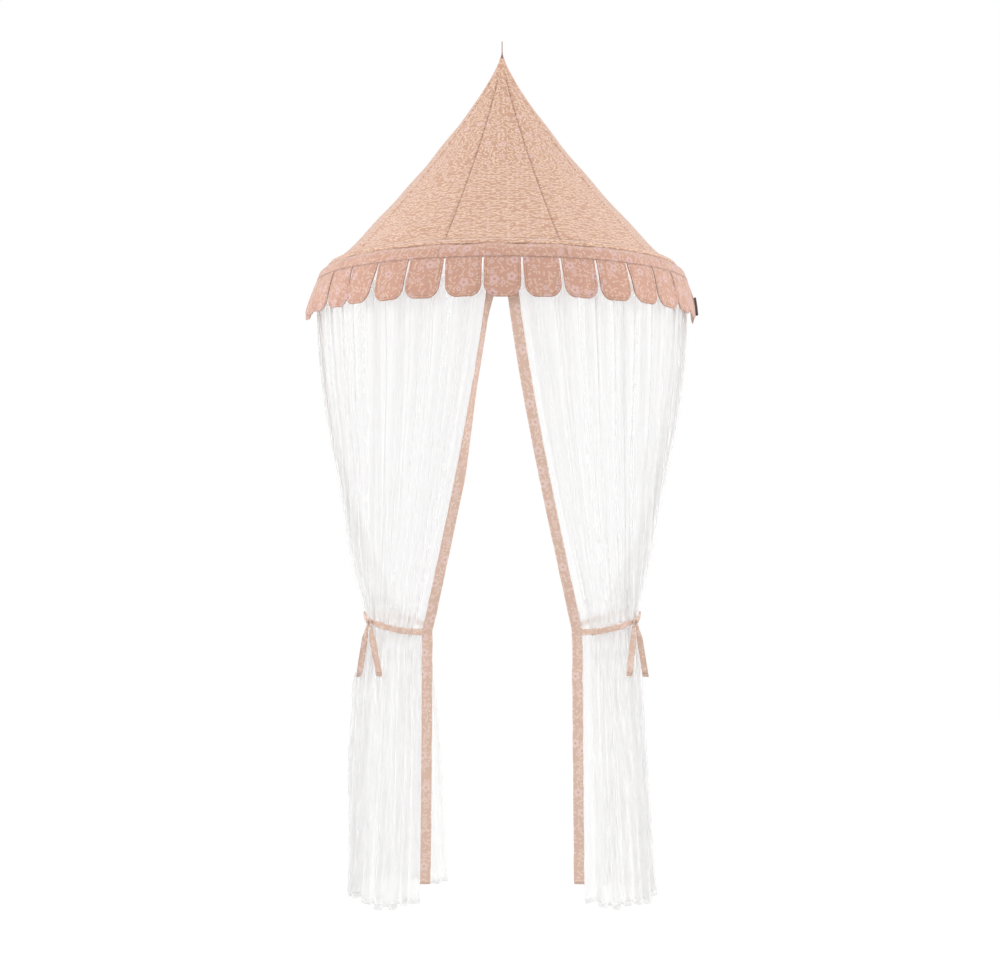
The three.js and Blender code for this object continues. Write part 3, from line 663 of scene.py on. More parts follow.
def printed_cotton(name, pattern, ground, sprig, petal, heart, level_from=None):
    """Printed cotton. Its strokes turn level past a distance down the cloth, where one is given."""
    plain_shade, yarn_contrast, wear_contrast, crease_shade, slit_shade = 0.93, 0.10, 0.05, 0.42, 0.85
    material, graph, shader = new_material(
        name, Sheen_Weight=0.8, Sheen_Roughness=0.45, Sheen_Tint=srgb(250, 232, 226),
        Specular_IOR_Level=0.1)
    place = cloth_place(graph)
    level = 0.0
    if level_from:
        _, down, _ = graph.split(place)
        level = graph.past(down, level_from, 0.25)
    print_node = use_group(
        graph, pattern, Place=place, Level=level, Ground=srgb(*ground), Sprig=srgb(*sprig),
        Petal=srgb(*petal), Heart=srgb(*heart))
    weave = use_group(graph, cotton_weave, Place=place)
    shade = graph.times(weave.outputs["Yarn"], yarn_contrast, plain_shade)
    shade = graph.times(weave.outputs["Wear"], wear_contrast, shade)
    # Painted shade: the crease share that each piece stores darkens the colour where shade falls in
    # creases, seams, stitched grooves and under the eave roll.
    shade = graph.math("MULTIPLY", shade, graph.times(graph.stored("painted_crease_shade"), -crease_shade, 1.0))
    # Painted shade: the slit share darkens the colour nearly to black in the knot's deep tucks.
    shade = graph.math("MULTIPLY", shade, graph.times(graph.stored("painted_slit_shade"), -slit_shade, 1.0))
    tint = graph.vector("SCALE", print_node.outputs["Color"])
    graph.feed(tint.inputs["Scale"], shade)
    graph.feed(shader.inputs["Base Color"], tint.outputs[0])
    graph.feed(shader.inputs["Roughness"], graph.times(print_node.outputs["Printed"], -0.06, 0.9))
    raise_surface(graph, shader, weave.outputs["Height"], strength=0.35, distance=0.0006)
    return material


def sheer_net():
    """Fine net that lets most light through, closer in its hem and where the threads bunch."""
    mesh_size, thread_width, hem_height, edge_softness = 0.0022, 0.0006, 0.0125, 0.0015
    light_kept_share = 0.97
    material, graph, shader = new_material(
        "sheer net", Roughness=0.8, Specular_IOR_Level=0.1, Sheen_Weight=0.6, Sheen_Roughness=0.5,
        Subsurface_Weight=1.0, Subsurface_Radius=(1, 1, 1), Subsurface_Scale=0.003,
        Emission_Strength=1.0)
    place = cloth_place(graph)
    x, y, _ = graph.split(place)
    threads = graph.noise(graph.join(graph.times(x, 60.0), y), 9.0, 3.0, 0.6)
    bands = graph.noise(graph.join(graph.times(x, 16.0), graph.times(y, 0.6)), 1.0, 1.0)
    mesh_cells, _ = graph.cells(place, mesh_size, 0.35)
    holes = graph.vector("LENGTH", mesh_cells).outputs["Value"]
    walls = graph.past(holes, thread_width, thread_width)
    hem = graph.past(y, HEM_DROP - hem_height, edge_softness)
    heading = graph.within(y, HEAD_DROP + 0.02, 0.06)
    from_tie = graph.math("ABSOLUTE", graph.math("SUBTRACT", y, TIE_DROP - 0.01))
    opacity = graph.times(threads, 0.04, 0.09)
    added_by_masks = (
        (graph.within(bands, 0.42, 0.16), 0.10),
        (walls, 0.03),
        (hem, 0.25),
        (graph.past(y, TIE_DROP, 0.1), 0.07),
        (graph.stored("bunched"), 0.02),
        (heading, 0.5),
        (graph.within(from_tie, 0.02, 0.06), 0.16),
    )
    for mask, share in added_by_masks:
        opacity = graph.times(mask, share, opacity)
    passing = graph.add("ShaderNodeLightPath").outputs
    light_ray = graph.math("MAXIMUM", passing["Is Shadow Ray"], passing["Is Diffuse Ray"])
    opacity = graph.math("MULTIPLY", opacity, graph.times(light_ray, -light_kept_share, 1.0))
    graph.feed(shader.inputs["Alpha"], opacity)
    # Painted light: the heading glows by emission, for the light that comes through the net from behind.
    painted_heading_glow = graph.times(heading, 0.6)
    graph.feed(shader.inputs["Emission Color"], graph.join(painted_heading_glow, painted_heading_glow, painted_heading_glow))
    colour = graph.blend(threads, srgb(236, 236, 235), srgb(242, 242, 241))
    colour = graph.blend(graph.times(hem, 0.8), colour, srgb(228, 227, 226))
    graph.feed(shader.inputs["Base Color"], colour)
    raise_surface(graph, shader, walls, strength=0.3, distance=0.0005)
    return material


def woven_tape():
    material, graph, shader = new_material("woven tape", Roughness=0.9)
    place = cloth_place(graph)
    x, y, _ = graph.split(place)
    ribs = graph.wave(x, 0.0012)
    cords = graph.wave(y, 0.004)
    two_tone(graph, shader, graph.noise(place, 40.0, 3.0), (232, 226, 218), (244, 240, 234))
    raise_surface(graph, shader, graph.times(ribs, 0.4, cords), strength=0.5, distance=0.0004)
    return material


def twisted_cotton_cord():
    material, graph, shader = new_material("twisted cord", Roughness=0.85, Sheen_Weight=0.3)
    fibres = graph.noise(cloth_place(graph), 900.0, 3.0)
    two_tone(graph, shader, fibres, (138, 104, 94), (176, 138, 124))
    raise_surface(graph, shader, fibres, strength=0.4, distance=0.0003)
    return material


def lacquered_rod():
    """White lacquer on a drawn rod, with faint unevenness and rubbed patches."""
    material, graph, shader = new_material("lacquered rod", Coat_Weight=0.3)
    place = graph.add("ShaderNodeTexCoord").outputs["Object"]
    rubbed = graph.noise(place, 60.0, 4.0, 0.6)
    two_tone(graph, shader, rubbed, (222, 221, 217), (238, 237, 234))
    graph.feed(shader.inputs["Roughness"], graph.times(rubbed, 0.25, 0.22))
    raise_surface(graph, shader, graph.noise(place, 400.0), strength=0.15, distance=0.0003)
    return material


def moulded_plastic():
    material, graph, shader = new_material("moulded plastic")
    place = graph.add("ShaderNodeTexCoord").outputs["Object"]
    grain = graph.noise(place, 1800.0, 2.0)
    two_tone(graph, shader, graph.noise(place, 35.0, 3.0), (230, 228, 222), (242, 241, 237))
    graph.feed(shader.inputs["Roughness"], graph.times(grain, 0.15, 0.4))
    raise_surface(graph, shader, grain, strength=0.2, distance=0.0002)
    return material


def woven_label():
    material, graph, shader = new_material("woven label", Roughness=0.7, Sheen_Weight=0.2)
    place = cloth_place(graph)
    _, y, _ = graph.split(place)
    two_tone(graph, shader, graph.noise(place, 500.0, 2.0), (62, 58, 60), (92, 88, 90))
    raise_surface(graph, shader, graph.wave(y, 0.0008), strength=0.4, distance=0.0002)
    return material


# Hanging cord


def smooth_route(points, samples):
    """A centripetal curve through the points, with the same number of samples on each stretch."""
    points = [Vector(point) for point in points]
    extended = [2 * points[0] - points[1], *points, 2 * points[-1] - points[-2]]
    route = []
    for index in range(1, len(extended) - 2):
        before, start, end, after = extended[index - 1:index + 3]
        stretches = ((before, start), (start, end), (end, after))
        first, own, last = (math.sqrt((far - near).length) for near, far in stretches)
        leave = (start - before) / first - (end - before) / (first + own) + (end - start) / own
        arrive = (end - start) / own - (after - start) / (own + last) + (after - end) / last
        for step in range(samples):
            t = step / samples
            route.append(
                start * (2 * t**3 - 3 * t**2 + 1)
                + leave * own * (t**3 - 2 * t**2 + t)
                + end * (3 * t**2 - 2 * t**3)
                + arrive * own * (t**3 - t**2)
            )
    route.append(points[-1])
    return route


def cord_strand(side):
    """One strand's route, up from the washer to the loop."""
    washer_z, bend_z, widest_z, shoulder_z = -0.06925, -0.068, -0.0235, -0.005
    x = side * STRAND_HALF_SPACING
    y = -side * LOOP_HALF_WIDTH
    inside = [(x, KNOT_Y, washer_z), (x, KNOT_Y, bend_z), (x, 0.0, -TIP_DROP)]
    return [*inside, (0.0, y, widest_z), (0.0, y, shoulder_z)]


def hanging_cord():
    """A three-strand cord: up one leg, over the hook and down the other."""
    samples, sides = 16, 18
    strand_count, lay_length, strand_share = 3, 0.008, 0.13
    route = smooth_route([*cord_strand(1), CORD_TOP, *reversed(cord_strand(-1))], samples)
    angles = [2 * math.pi * side / sides for side in range(sides)]
    rings, uvs, run = [], [], 0.0
    side_axis = Vector((0, -1, 0))
    for index, centre in enumerate(route):
        ahead = route[min(index + 1, len(route) - 1)]
        behind = route[max(index - 1, 0)]
        if index:
            run += (centre - behind).length
        direction = (ahead - behind).normalized()
        side_axis = (side_axis - direction * side_axis.dot(direction)).normalized()
        other_axis = direction.cross(side_axis)
        ring = []
        for angle in angles:
            strand = math.cos(strand_count * angle - 2 * math.pi * run / lay_length)
            radius = CORD_DIAMETER / 2 * (1 + strand_share * strand)
            out = side_axis * (radius * math.cos(angle)) + other_axis * (radius * math.sin(angle))
            ring.append(tuple(centre + out))
        rings.append(ring)
        uvs.append([(CORD_DIAMETER / 2 * angle, run) for angle in angles])
    cord = soft_tube(
        "hanging_cord_strands", np.array(rings), np.array(uvs), cord_material, "root",
        ["hanging_cord"])
    knot = stopper_knot()
    whipping = tip_whipping()


def wound_ring(name, centre, radius, thickness, turns, height, replaced=(), narrowing=0.0):
    """A cord wound in turns that lie on each other, narrowing upward by a share of the radius."""
    steps, sides = 40, 10
    count = turns * steps + 1
    rings, uvs = [], []
    for index in range(count):
        turn = index / steps
        angle = 2 * math.pi * turn
        out = np.array([math.cos(angle), math.sin(angle), 0])
        middle = np.array(centre) + out * radius * (1 - narrowing * turn / turns)
        middle[2] += height * (turn / turns - 0.5)
        ring = []
        for side in range(sides):
            around_wire = 2 * math.pi * side / sides
            lift = np.array([0, 0, math.sin(around_wire)])
            ring.append(middle + (out * math.cos(around_wire) + lift) * (thickness / 2))
        rings.append(ring)
        uvs.append([(side * thickness / sides, radius * angle) for side in range(sides)])
    return soft_tube(name, np.array(rings), np.array(uvs), cord_material, "root", replaced)


def stopper_knot():
    turns, wrap_thickness = 4, CORD_DIAMETER * 1.1
    low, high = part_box("cord_knot")
    centre = (Vector(low) + Vector(high)) / 2
    knot_radius = ((high[0] - low[0]) / 2 - CORD_DIAMETER / 2) * 0.98
    height = high[2] - low[2] - CORD_DIAMETER
    return wound_ring(
        "cord_knot_wraps", centre, knot_radius, wrap_thickness, turns, height, ["cord_knot"])


def tip_whipping():
    """Fine thread wound round both strands where they leave the roof, narrowing to the cord."""
    radius, thread, turns, height, narrowing = 0.0049, 0.0012, 11, 0.012, 0.62
    centre = (0, 0, -TIP_DROP + height / 2 - thread)
    return wound_ring("tip_whipping", centre, radius, thread, turns, height, narrowing=narrowing)


# Roof


def roof_radius(drop):
    share = np.clip((drop - TIP_DROP) / (EAVE_DROP - TIP_DROP), 0, None)
    return TIP_RADIUS + (EAVE_RADIUS - TIP_RADIUS) * share**ROOF_HOLLOW_SHARE


def seam_relief(seam, own_side_seed, from_seam, slant):
    """How far the cloth stands out beside a seam, with minus for inward, and how much painted shade its
    line gets.
    """
    pull, swell, swell_wave, pucker_height = 0.0022, 0.0004, 0.0011, 0.0003
    seam_width, swell_width, seam_shade_width = 0.0035, 0.016, 0.0019
    fade = smooth_step(slant, 0.02, 0.10)
    pucker = Ripples(40 + seam, 0.012, 0.030)(slant)
    own_side = Ripples(own_side_seed, 0.016, 0.040)(slant)
    beside = bell(from_seam, swell_width) - bell(from_seam, 0.003)
    pulled_in = bell(from_seam, seam_width) * (pull - pucker_height * pucker)
    relief = beside * (swell_wave * own_side + swell) - pulled_in
    return relief * fade, bell(from_seam, seam_shade_width) * fade * (0.8 + 0.2 * own_side)


def roof_gore(index):
    columns, rows = 56, 170
    slack_height, cross_height, belly_depth, calm_edge = 0.0016, 0.0012, 0.0025, 0.03
    drop_share = 0.6
    gore_angle = math.pi / GORE_COUNT
    start = -QUARTER_TURN + index * gore_angle
    across = crowded_shares(columns, 0.88)[None, :]
    down = np.linspace(0, 1, rows)[:, None] ** 0.9
    drop = mix(TIP_DROP, EAVE_DROP, down)
    radius = roof_radius(drop)
    wall_gap = np.arcsin(BACK_GAP / radius)
    begin = start + (wall_gap if index == 0 else 0)
    finish = start + gore_angle - (wall_gap if index == GORE_COUNT - 1 else 0)
    azimuth = mix(begin, finish, across)
    lateral = radius * (azimuth - start - gore_angle / 2)
    slant = path_lengths(around(radius, 0, drop), 0) + 0 * lateral
    relief = 0 * lateral
    # Painted shade: the roof's last rows under the eave roll darken, and each seam gets a dark line, both
    # kept in the crease share.
    painted_crease_shade = smooth_step(drop, EAVE_DROP - 0.0115, EAVE_DROP - 0.0065) + 0 * lateral
    from_seams = {index: radius * (azimuth - start), index + 1: radius * (start + gore_angle - azimuth)}
    for seam, from_seam in from_seams.items():
        if 0 < seam < GORE_COUNT:
            own_side_seed = 60 + 2 * seam + (seam == index)
            seam_part, line = seam_relief(seam, own_side_seed, from_seam, slant)
            relief = relief + seam_part
            painted_crease_shade = np.maximum(painted_crease_shade, line)
    slack = Ripples(80 + index, 0.09, 0.22)(lateral) * smooth_step(slant, 0.25, 0.75) * slack_height
    cross_waves = Ripples(90 + index, 0.10, 0.30)(slant + 0.35 * lateral)
    cross = cross_waves * cross_height * smooth_step(slant, 0.05, 0.3)
    half_width = radius * gore_angle / 2
    inside = smooth_step(half_width + lateral, 0, calm_edge)
    inside = inside * smooth_step(half_width - lateral, 0, calm_edge)
    above_eave = 1 - smooth_step(down, 0.93, 1)
    belly = belly_depth * np.sin(math.pi * across) * smooth_step(down, 0.3, 0.9) * above_eave
    outward = relief + (slack + cross) * inside * (1 - smooth_step(down, 0.965, 1)) - belly
    points = around(radius + outward, azimuth, drop - drop_share * outward)
    piece = cloth_sheet(
        f"roof_cloth_{index + 1}", points, cloth_uvs(lateral, slant, (0.67 * index, 0.0)),
        COTTON_THICKNESS, roof_print, "root", [f"roof_gore_{index + 1}"])
    store_share(piece, "painted_crease_shade", painted_crease_shade)


def roof_back():
    columns, rows = 60, 90
    wave_height = 0.0016
    foot = HOOP_DROP - CASING_RADIUS - SEAM_GAP
    across = np.linspace(-1, 1, columns)[None, :]
    drop = np.linspace(TIP_DROP, foot, rows)[:, None]
    x = across * roof_radius(drop)
    free = smooth_step(drop, 0.1, 0.3) * (1 - across**8)
    wave = Ripples(7, 0.08, 0.3)(x + 0.3 * drop) * wave_height * free
    points = np.stack([x, BACK_PLANE_Y + wave, -drop + 0 * x], axis=-1)
    piece = cloth_sheet(
        "roof_back_cloth", points, cloth_uvs(x, drop, (2.7, 0.4)), COTTON_THICKNESS, roof_print,
        "root", ["roof_back_panel"])


# Casings


def band_point(share):
    return bezier((0, 0), SHOULDER, BAND_END, share) + np.array([EAVE_RADIUS, EAVE_DROP])


def band_slope(share):
    return bezier_slope((0, 0), SHOULDER, BAND_END, share)


def casing_section():
    """The rolled ridge at the eave, and the tunnel below it that holds the hoop, as radius and drop."""
    tunnel_steps, tunnel_start_deg, tunnel_end_deg = 16, 75, 250
    bulge, bluntness = 0.0074, 0.62
    over_roof, over_band = (0.0046, 0.0047), (0.0004, 0.0006)
    top = np.array([EAVE_RADIUS, EAVE_DROP]) - over_roof
    foot = band_point(ROLL_FOOT_SHARE) + over_band
    chord = foot - top
    outward = np.array([chord[1], -chord[0]]) / np.linalg.norm(chord)
    share = np.linspace(0, 1, ROLL_STEPS)[:, None]
    roll = top + chord * share + outward * bulge * np.sin(math.pi * share) ** bluntness
    angle = np.radians(np.linspace(tunnel_start_deg, tunnel_end_deg, tunnel_steps))
    turn = np.stack([np.cos(angle), np.sin(angle)], axis=-1)
    return np.concatenate([roll, np.array([HOOP_RADIUS, HOOP_DROP]) + CASING_RADIUS * turn])


def hoop_casing():
    steps = 360
    crease_width, upper_crease = 0.0024, 0.0105
    long_swell, short_swell = 0.05, 0.035
    section = casing_section()
    end = SOCKET_AZIMUTH - SEAM_GAP / HOOP_RADIUS
    azimuth = np.linspace(-end, end, steps)[:, None]
    run = azimuth * EAVE_RADIUS
    swell = 1 + long_swell * Ripples(21, 0.05, 0.16)(run)
    swell = swell + short_swell * Ripples(22, 0.010, 0.022)(run)
    middle = section.mean(axis=0)
    shape = middle + (section - middle) * swell[..., None]
    shape[:, ROLL_STEPS:] = section[ROLL_STEPS:]
    rings = around(shape[..., 0], azimuth, shape[..., 1])
    girth = path_lengths(section, 0)
    piece = soft_tube(
        "hoop_casing_cloth", rings, cloth_uvs(run, girth, (4.1, 1.3)), roof_print, "root",
        ["hoop_casing"])
    # Painted shade: dark lines at the top of the rolled ridge and at its foot, kept in the crease share.
    lower_crease = girth[ROLL_STEPS - 1]
    creases = [bell(girth - place, crease_width) for place in (upper_crease, lower_crease)]
    store_share(piece, "painted_crease_shade", sum(creases))


def back_rail_casing():
    steps, sides = 120, 20
    slack_share, snug_share = 0.03, 0.985
    x = np.linspace(-RAIL_CASING_REACH, RAIL_CASING_REACH, steps)[:, None]
    angle = np.linspace(0, 2 * math.pi, sides, endpoint=False)[None, :]
    swell = 1 + slack_share * Ripples(31, 0.03, 0.09)(x) * np.cos(angle) ** 2
    radius = CASING_RADIUS * snug_share * swell
    y = BACK_PLANE_Y + radius * np.cos(angle)
    rings = np.stack([x + 0 * y, y, -HOOP_DROP + radius * np.sin(angle)], axis=-1)
    piece = soft_tube(
        "back_rail_casing_cloth", rings, cloth_uvs(x, angle * CASING_RADIUS), roof_print, "root",
        ["back_rail_casing"])


# Valance


def valance_band():
    columns, rows = 420, 64
    start_share, stitched_share = 0.10, 0.12
    slack_height, pucker_height, belly_height, seam_dip = 0.0016, 0.0005, 0.0022, 0.0014
    azimuth = np.linspace(-VALANCE_END, VALANCE_END, columns)[None, :]
    share = np.linspace(start_share, 1, rows)[:, None]
    profile = band_point(share)
    run = azimuth * TAB_ROOT_RADIUS
    slack = Ripples(51, 0.07, 0.19)(run) * slack_height * np.sin(math.pi * share)
    stitched = bell(share - 1, stitched_share) + bell(share - ROLL_FOOT_SHARE, stitched_share)
    pucker = Ripples(52, 0.011, 0.024)(run) * pucker_height * stitched
    belly = belly_height * np.sin(math.pi * smooth_step(share, ROLL_FOOT_SHARE, 1.0))
    # Painted shade: dark below the roll's foot, darker towards the band's lower edge, and along the seams.
    painted_crease_shade = bell(share - ROLL_FOOT_SHARE - 0.025, 0.03) + 0.6 * smooth_step(share, 0.95, 1)
    for seam in range(1, GORE_COUNT):
        from_seam = run - (-QUARTER_TURN + seam * math.pi / GORE_COUNT) * TAB_ROOT_RADIUS
        belly = belly - seam_dip * bell(from_seam, 0.003) * (1 - smooth_step(share, 0.85, 1))
        painted_crease_shade = np.maximum(painted_crease_shade, 0.5 * bell(from_seam, 0.0025))
    radius, drop = off_profile(profile, band_slope(share), slack + pucker + belly)
    down = path_lengths(around(profile[..., 0], 0, profile[..., 1]), 0)
    thickness = COTTON_THICKNESS * (1 + 0.6 * smooth_step(share, 0.86, 0.95))
    piece = cloth_sheet(
        "valance_band_cloth", around(radius, azimuth, drop), cloth_uvs(run, down, (7.3, 2.2)),
        thickness, valance_print, "root", ["valance_band"])
    store_share(piece, "painted_crease_shade", painted_crease_shade)


TAB_LENGTH = float(path_lengths(bezier((0, 0), TAB_KNEE, TAB_FOOT, np.linspace(0, 1, 60)), 0)[-1])


def tab_azimuth(index):
    return -QUARTER_TURN + (index + 0.5) * TAB_PITCH


def tab_pattern(columns, rows):
    """A grid over the tab's U-shaped pattern, lines following its edge: across and down in metres."""
    corner = TAB_CORNER_RADIUS
    arc = corner * math.pi / 4
    straight = TAB_LENGTH - corner
    flat = TAB_HALF_WIDTH - corner

    def side_curve(share):
        run = share * (straight + arc)
        turn = np.clip((run - straight) / corner, 0, None)
        x = TAB_HALF_WIDTH - corner * (1 - np.cos(turn))
        y = np.minimum(run, straight) + corner * np.sin(turn)
        return np.stack([x, y], axis=-1)

    def foot_curve(share):
        run = (np.abs(share - 0.5) * 2) * (flat + arc)
        turn = np.clip((run - flat) / corner, 0, None)
        x = np.minimum(run, flat) + corner * np.sin(turn)
        y = TAB_LENGTH - corner * (1 - np.cos(turn))
        return np.stack([x * np.sign(share - 0.5), y], axis=-1)

    across = crowded_shares(columns, 0.55)
    even = np.linspace(0, 1, rows)
    down = mix(even, np.sin(QUARTER_TURN * even), 0.6)
    right = side_curve(down)
    left = right * np.array([-1, 1])
    foot = foot_curve(across)
    head = np.stack([mix(-TAB_HALF_WIDTH, TAB_HALF_WIDTH, across), 0 * across], axis=-1)
    u = across[None, :, None]
    v = down[:, None, None]
    grid = (1 - v) * head[None] + v * foot[None] + (1 - u) * left[:, None] + u * right[:, None]
    corners = ((1 - u) * (1 - v) * head[0] + u * (1 - v) * head[-1]
               + (1 - u) * v * foot[0] + u * v * foot[-1])
    return grid - corners


def edge_distance(grid):
    """How far each place of the pattern is from its sides and foot."""
    x = np.abs(grid[..., 0]) - (TAB_HALF_WIDTH - TAB_CORNER_RADIUS)
    y = grid[..., 1] - (TAB_LENGTH - TAB_CORNER_RADIUS)
    past = np.hypot(np.maximum(x, 0), np.maximum(y, 0)) + np.minimum(np.maximum(x, y), 0)
    return np.maximum(TAB_CORNER_RADIUS - past, 0)


def tab_surface(index, x, s, lift=0.0):
    """Points across and down a tab's pattern, lifted outward from its cloth."""
    crease_height, tuck, head_rise = 0.0011, 0.0004, 0.0007
    share = np.clip(s / TAB_LENGTH, 0, 1)
    profile = bezier((0, 0), TAB_KNEE, TAB_FOOT, share) + np.array([TAB_ROOT_RADIUS, TAB_ROOT_DROP])
    slope = bezier_slope((0, 0), TAB_KNEE, TAB_FOOT, share)
    creases = Ripples(300 + index, 0.03, 0.09)(x + 0.4 * s) * crease_height * smooth_step(s, 0, 0.02)
    swing = TAB_SWINGS[index] * smooth_step(share, 0, 1.2)
    turn = math.tan(math.radians(TAB_TURNS_DEG[index])) * x * smooth_step(share, 0.0, 1.1)
    curl = TAB_CURLS[index] * (x / TAB_HALF_WIDTH) ** 2 * smooth_step(share, 0.2, 1)
    tucked = -tuck * (1 - smooth_step(s, 0, 0.007))
    radius, drop = off_profile(profile, slope, creases + swing + turn + curl + tucked + lift)
    slant = TAB_SLANTS.get(index, 0) * x * smooth_step(share, 0.05, 1.1)
    drop = drop - head_rise * (1 - smooth_step(s, 0, 0.003)) + slant
    lean = TAB_LEANS[index] * smooth_step(share, 0, 1.1)
    return around(radius, tab_azimuth(index) + (x + lean) / TAB_ROOT_RADIUS, drop)


def valance_tab(index):
    columns, rows = 62, 72
    hem_step, seam_narrowing, foot_narrowing = 0.0008, 0.0008, 0.0022
    number = f"{index + 1:02d}"
    grid = tab_pattern(columns, rows)
    s = grid[..., 1]
    narrowing = seam_narrowing * smooth_step(s, 0, 0.006)
    narrowing = narrowing + foot_narrowing * smooth_step(s, 0.004, TAB_LENGTH)
    x = grid[..., 0] * (1 - narrowing / TAB_HALF_WIDTH)
    distance = edge_distance(grid)
    thickness, groove = turned_edge("tab", distance)
    thickness = thickness - hem_step * smooth_step(distance, 0.0075, 0.012)
    piece = cloth_sheet(
        f"valance_tab_cloth_{number}", tab_surface(index, x, s),
        cloth_uvs(x, s, (0.173 * index, 5.0 + 0.219 * index)), thickness, valance_print,
        f"tab_{number}", [f"valance_tab_{number}"], soft_rim=True)
    # Painted shade: a dark line at the tab's edge, in its stitched groove and at its head under the band.
    edge = 0.75 * bell(distance, 0.0018) * smooth_step(s, 0, 0.004)
    head = 0.4 * bell(s, 0.0045)
    store_share(piece, "painted_crease_shade", np.maximum(np.maximum(0.45 * groove, edge), head))


def side_label():
    """A folded woven loop sewn into the rear edge of the last tab, standing outward."""
    rows, columns = 24, 14
    index = TAB_COUNT - 1
    from_tab, sewn_inset, rearward_bend = 0.0004, 0.0035, 0.002
    flat_thickness, fold_puff = 0.0008, 0.0016
    across, down = np.meshgrid(np.linspace(0, 1, columns), np.linspace(0, 1, rows))
    s = LABEL_START + LABEL_HEIGHT * down
    x = TAB_HALF_WIDTH - sewn_inset - rearward_bend * across**2 * (0.6 + 0.4 * down)
    points = tab_surface(index, x, s)
    outward = tab_surface(index, x, s, lift=0.001) - points
    outward = outward / np.linalg.norm(outward, axis=-1, keepdims=True)
    points = points + outward * (from_tab + LABEL_WIDTH * across)[..., None]
    puff = fold_puff * smooth_step(across, 0.6, 0.95) * (1 - smooth_step(across, 0.96, 1.0))
    piece = cloth_sheet(
        "side_label_loop", points, cloth_uvs(LABEL_WIDTH * across, LABEL_HEIGHT * down),
        flat_thickness + puff, label_material, "tab_17", ["side_label"], soft_rim=True)


# Net curtains. A width share runs from the opening edge, 0, to the wall edge, 1.


def ellipse_point(centre, half, width, drop):
    angle = mix(BUNDLE_START, BUNDLE_END, width)
    x = centre[0] + half[0] * np.cos(angle)
    y = BACK_PLANE_Y + centre[1] + half[1] * np.sin(angle)
    return np.stack([x, y, -drop], axis=-1)


def hung_share(drop):
    """How far down from the heading to the tie."""
    return np.clip((drop - HEAD_DROP) / (TIE_DROP - HEAD_DROP), 0, 1)


def loose_share(drop):
    """How far down from the tie to the hem, and on past it."""
    return np.clip((drop - TIE_DROP) / (HEM_DROP - TIE_DROP), 0, None)


def curtain_outline(width, drop):
    width, drop = np.broadcast_arrays(width, drop)
    tie = ellipse_point(BUNDLE_CENTRE, BUNDLE_HALF, width, drop)
    hem = ellipse_point(HEM_CENTRE, HEM_HALF, width, drop)
    head = around(HEADING_RADIUS, mix(OPENING_AZIMUTH, WALL_AZIMUTH, width), drop)
    hung = hung_share(drop) ** mix(OPENING_SWOOP_SHARE, WALL_SWOOP_SHARE, width)
    loose = loose_share(drop) ** SKIRT_FLARE_SHARE
    upper = head + (tie - head) * hung[..., None]
    lower = tie + (hem - tie) * loose[..., None]
    return np.where((drop <= TIE_DROP)[..., None], upper, lower)


def fold_depth(drop):
    upper = BUNDLE_FOLD * hung_share(drop) ** FOLD_GROWTH_SHARE
    return np.where(drop <= TIE_DROP, upper, mix(BUNDLE_FOLD, HEM_FOLD, loose_share(drop)))


def outline_directions(width, drop):
    step = 1e-4
    along = curtain_outline(width + step, drop) - curtain_outline(width - step, drop)
    along[..., 2] = 0
    along /= np.linalg.norm(along, axis=-1, keepdims=True)
    outward = np.stack([along[..., 1], -along[..., 0], 0 * along[..., 0]], axis=-1)
    return along, outward


def off_outline(width, drop, distance):
    width, drop, distance = np.broadcast_arrays(width, drop, distance)
    _, outward = outline_directions(width, drop)
    return curtain_outline(width, drop) + outward * distance[..., None]


def outline_length(width, drop):
    """The outline's length for a whole width share, at the rate that it has at this one."""
    step = 1e-3
    near, far = (off_outline(share, drop, fold_depth(drop)) for share in (width - step, width + step))
    return float(np.linalg.norm(near - far)) / (2 * step)


def row_lengths(points):
    return np.linalg.norm(np.diff(points, axis=1), axis=-1).sum(axis=1)


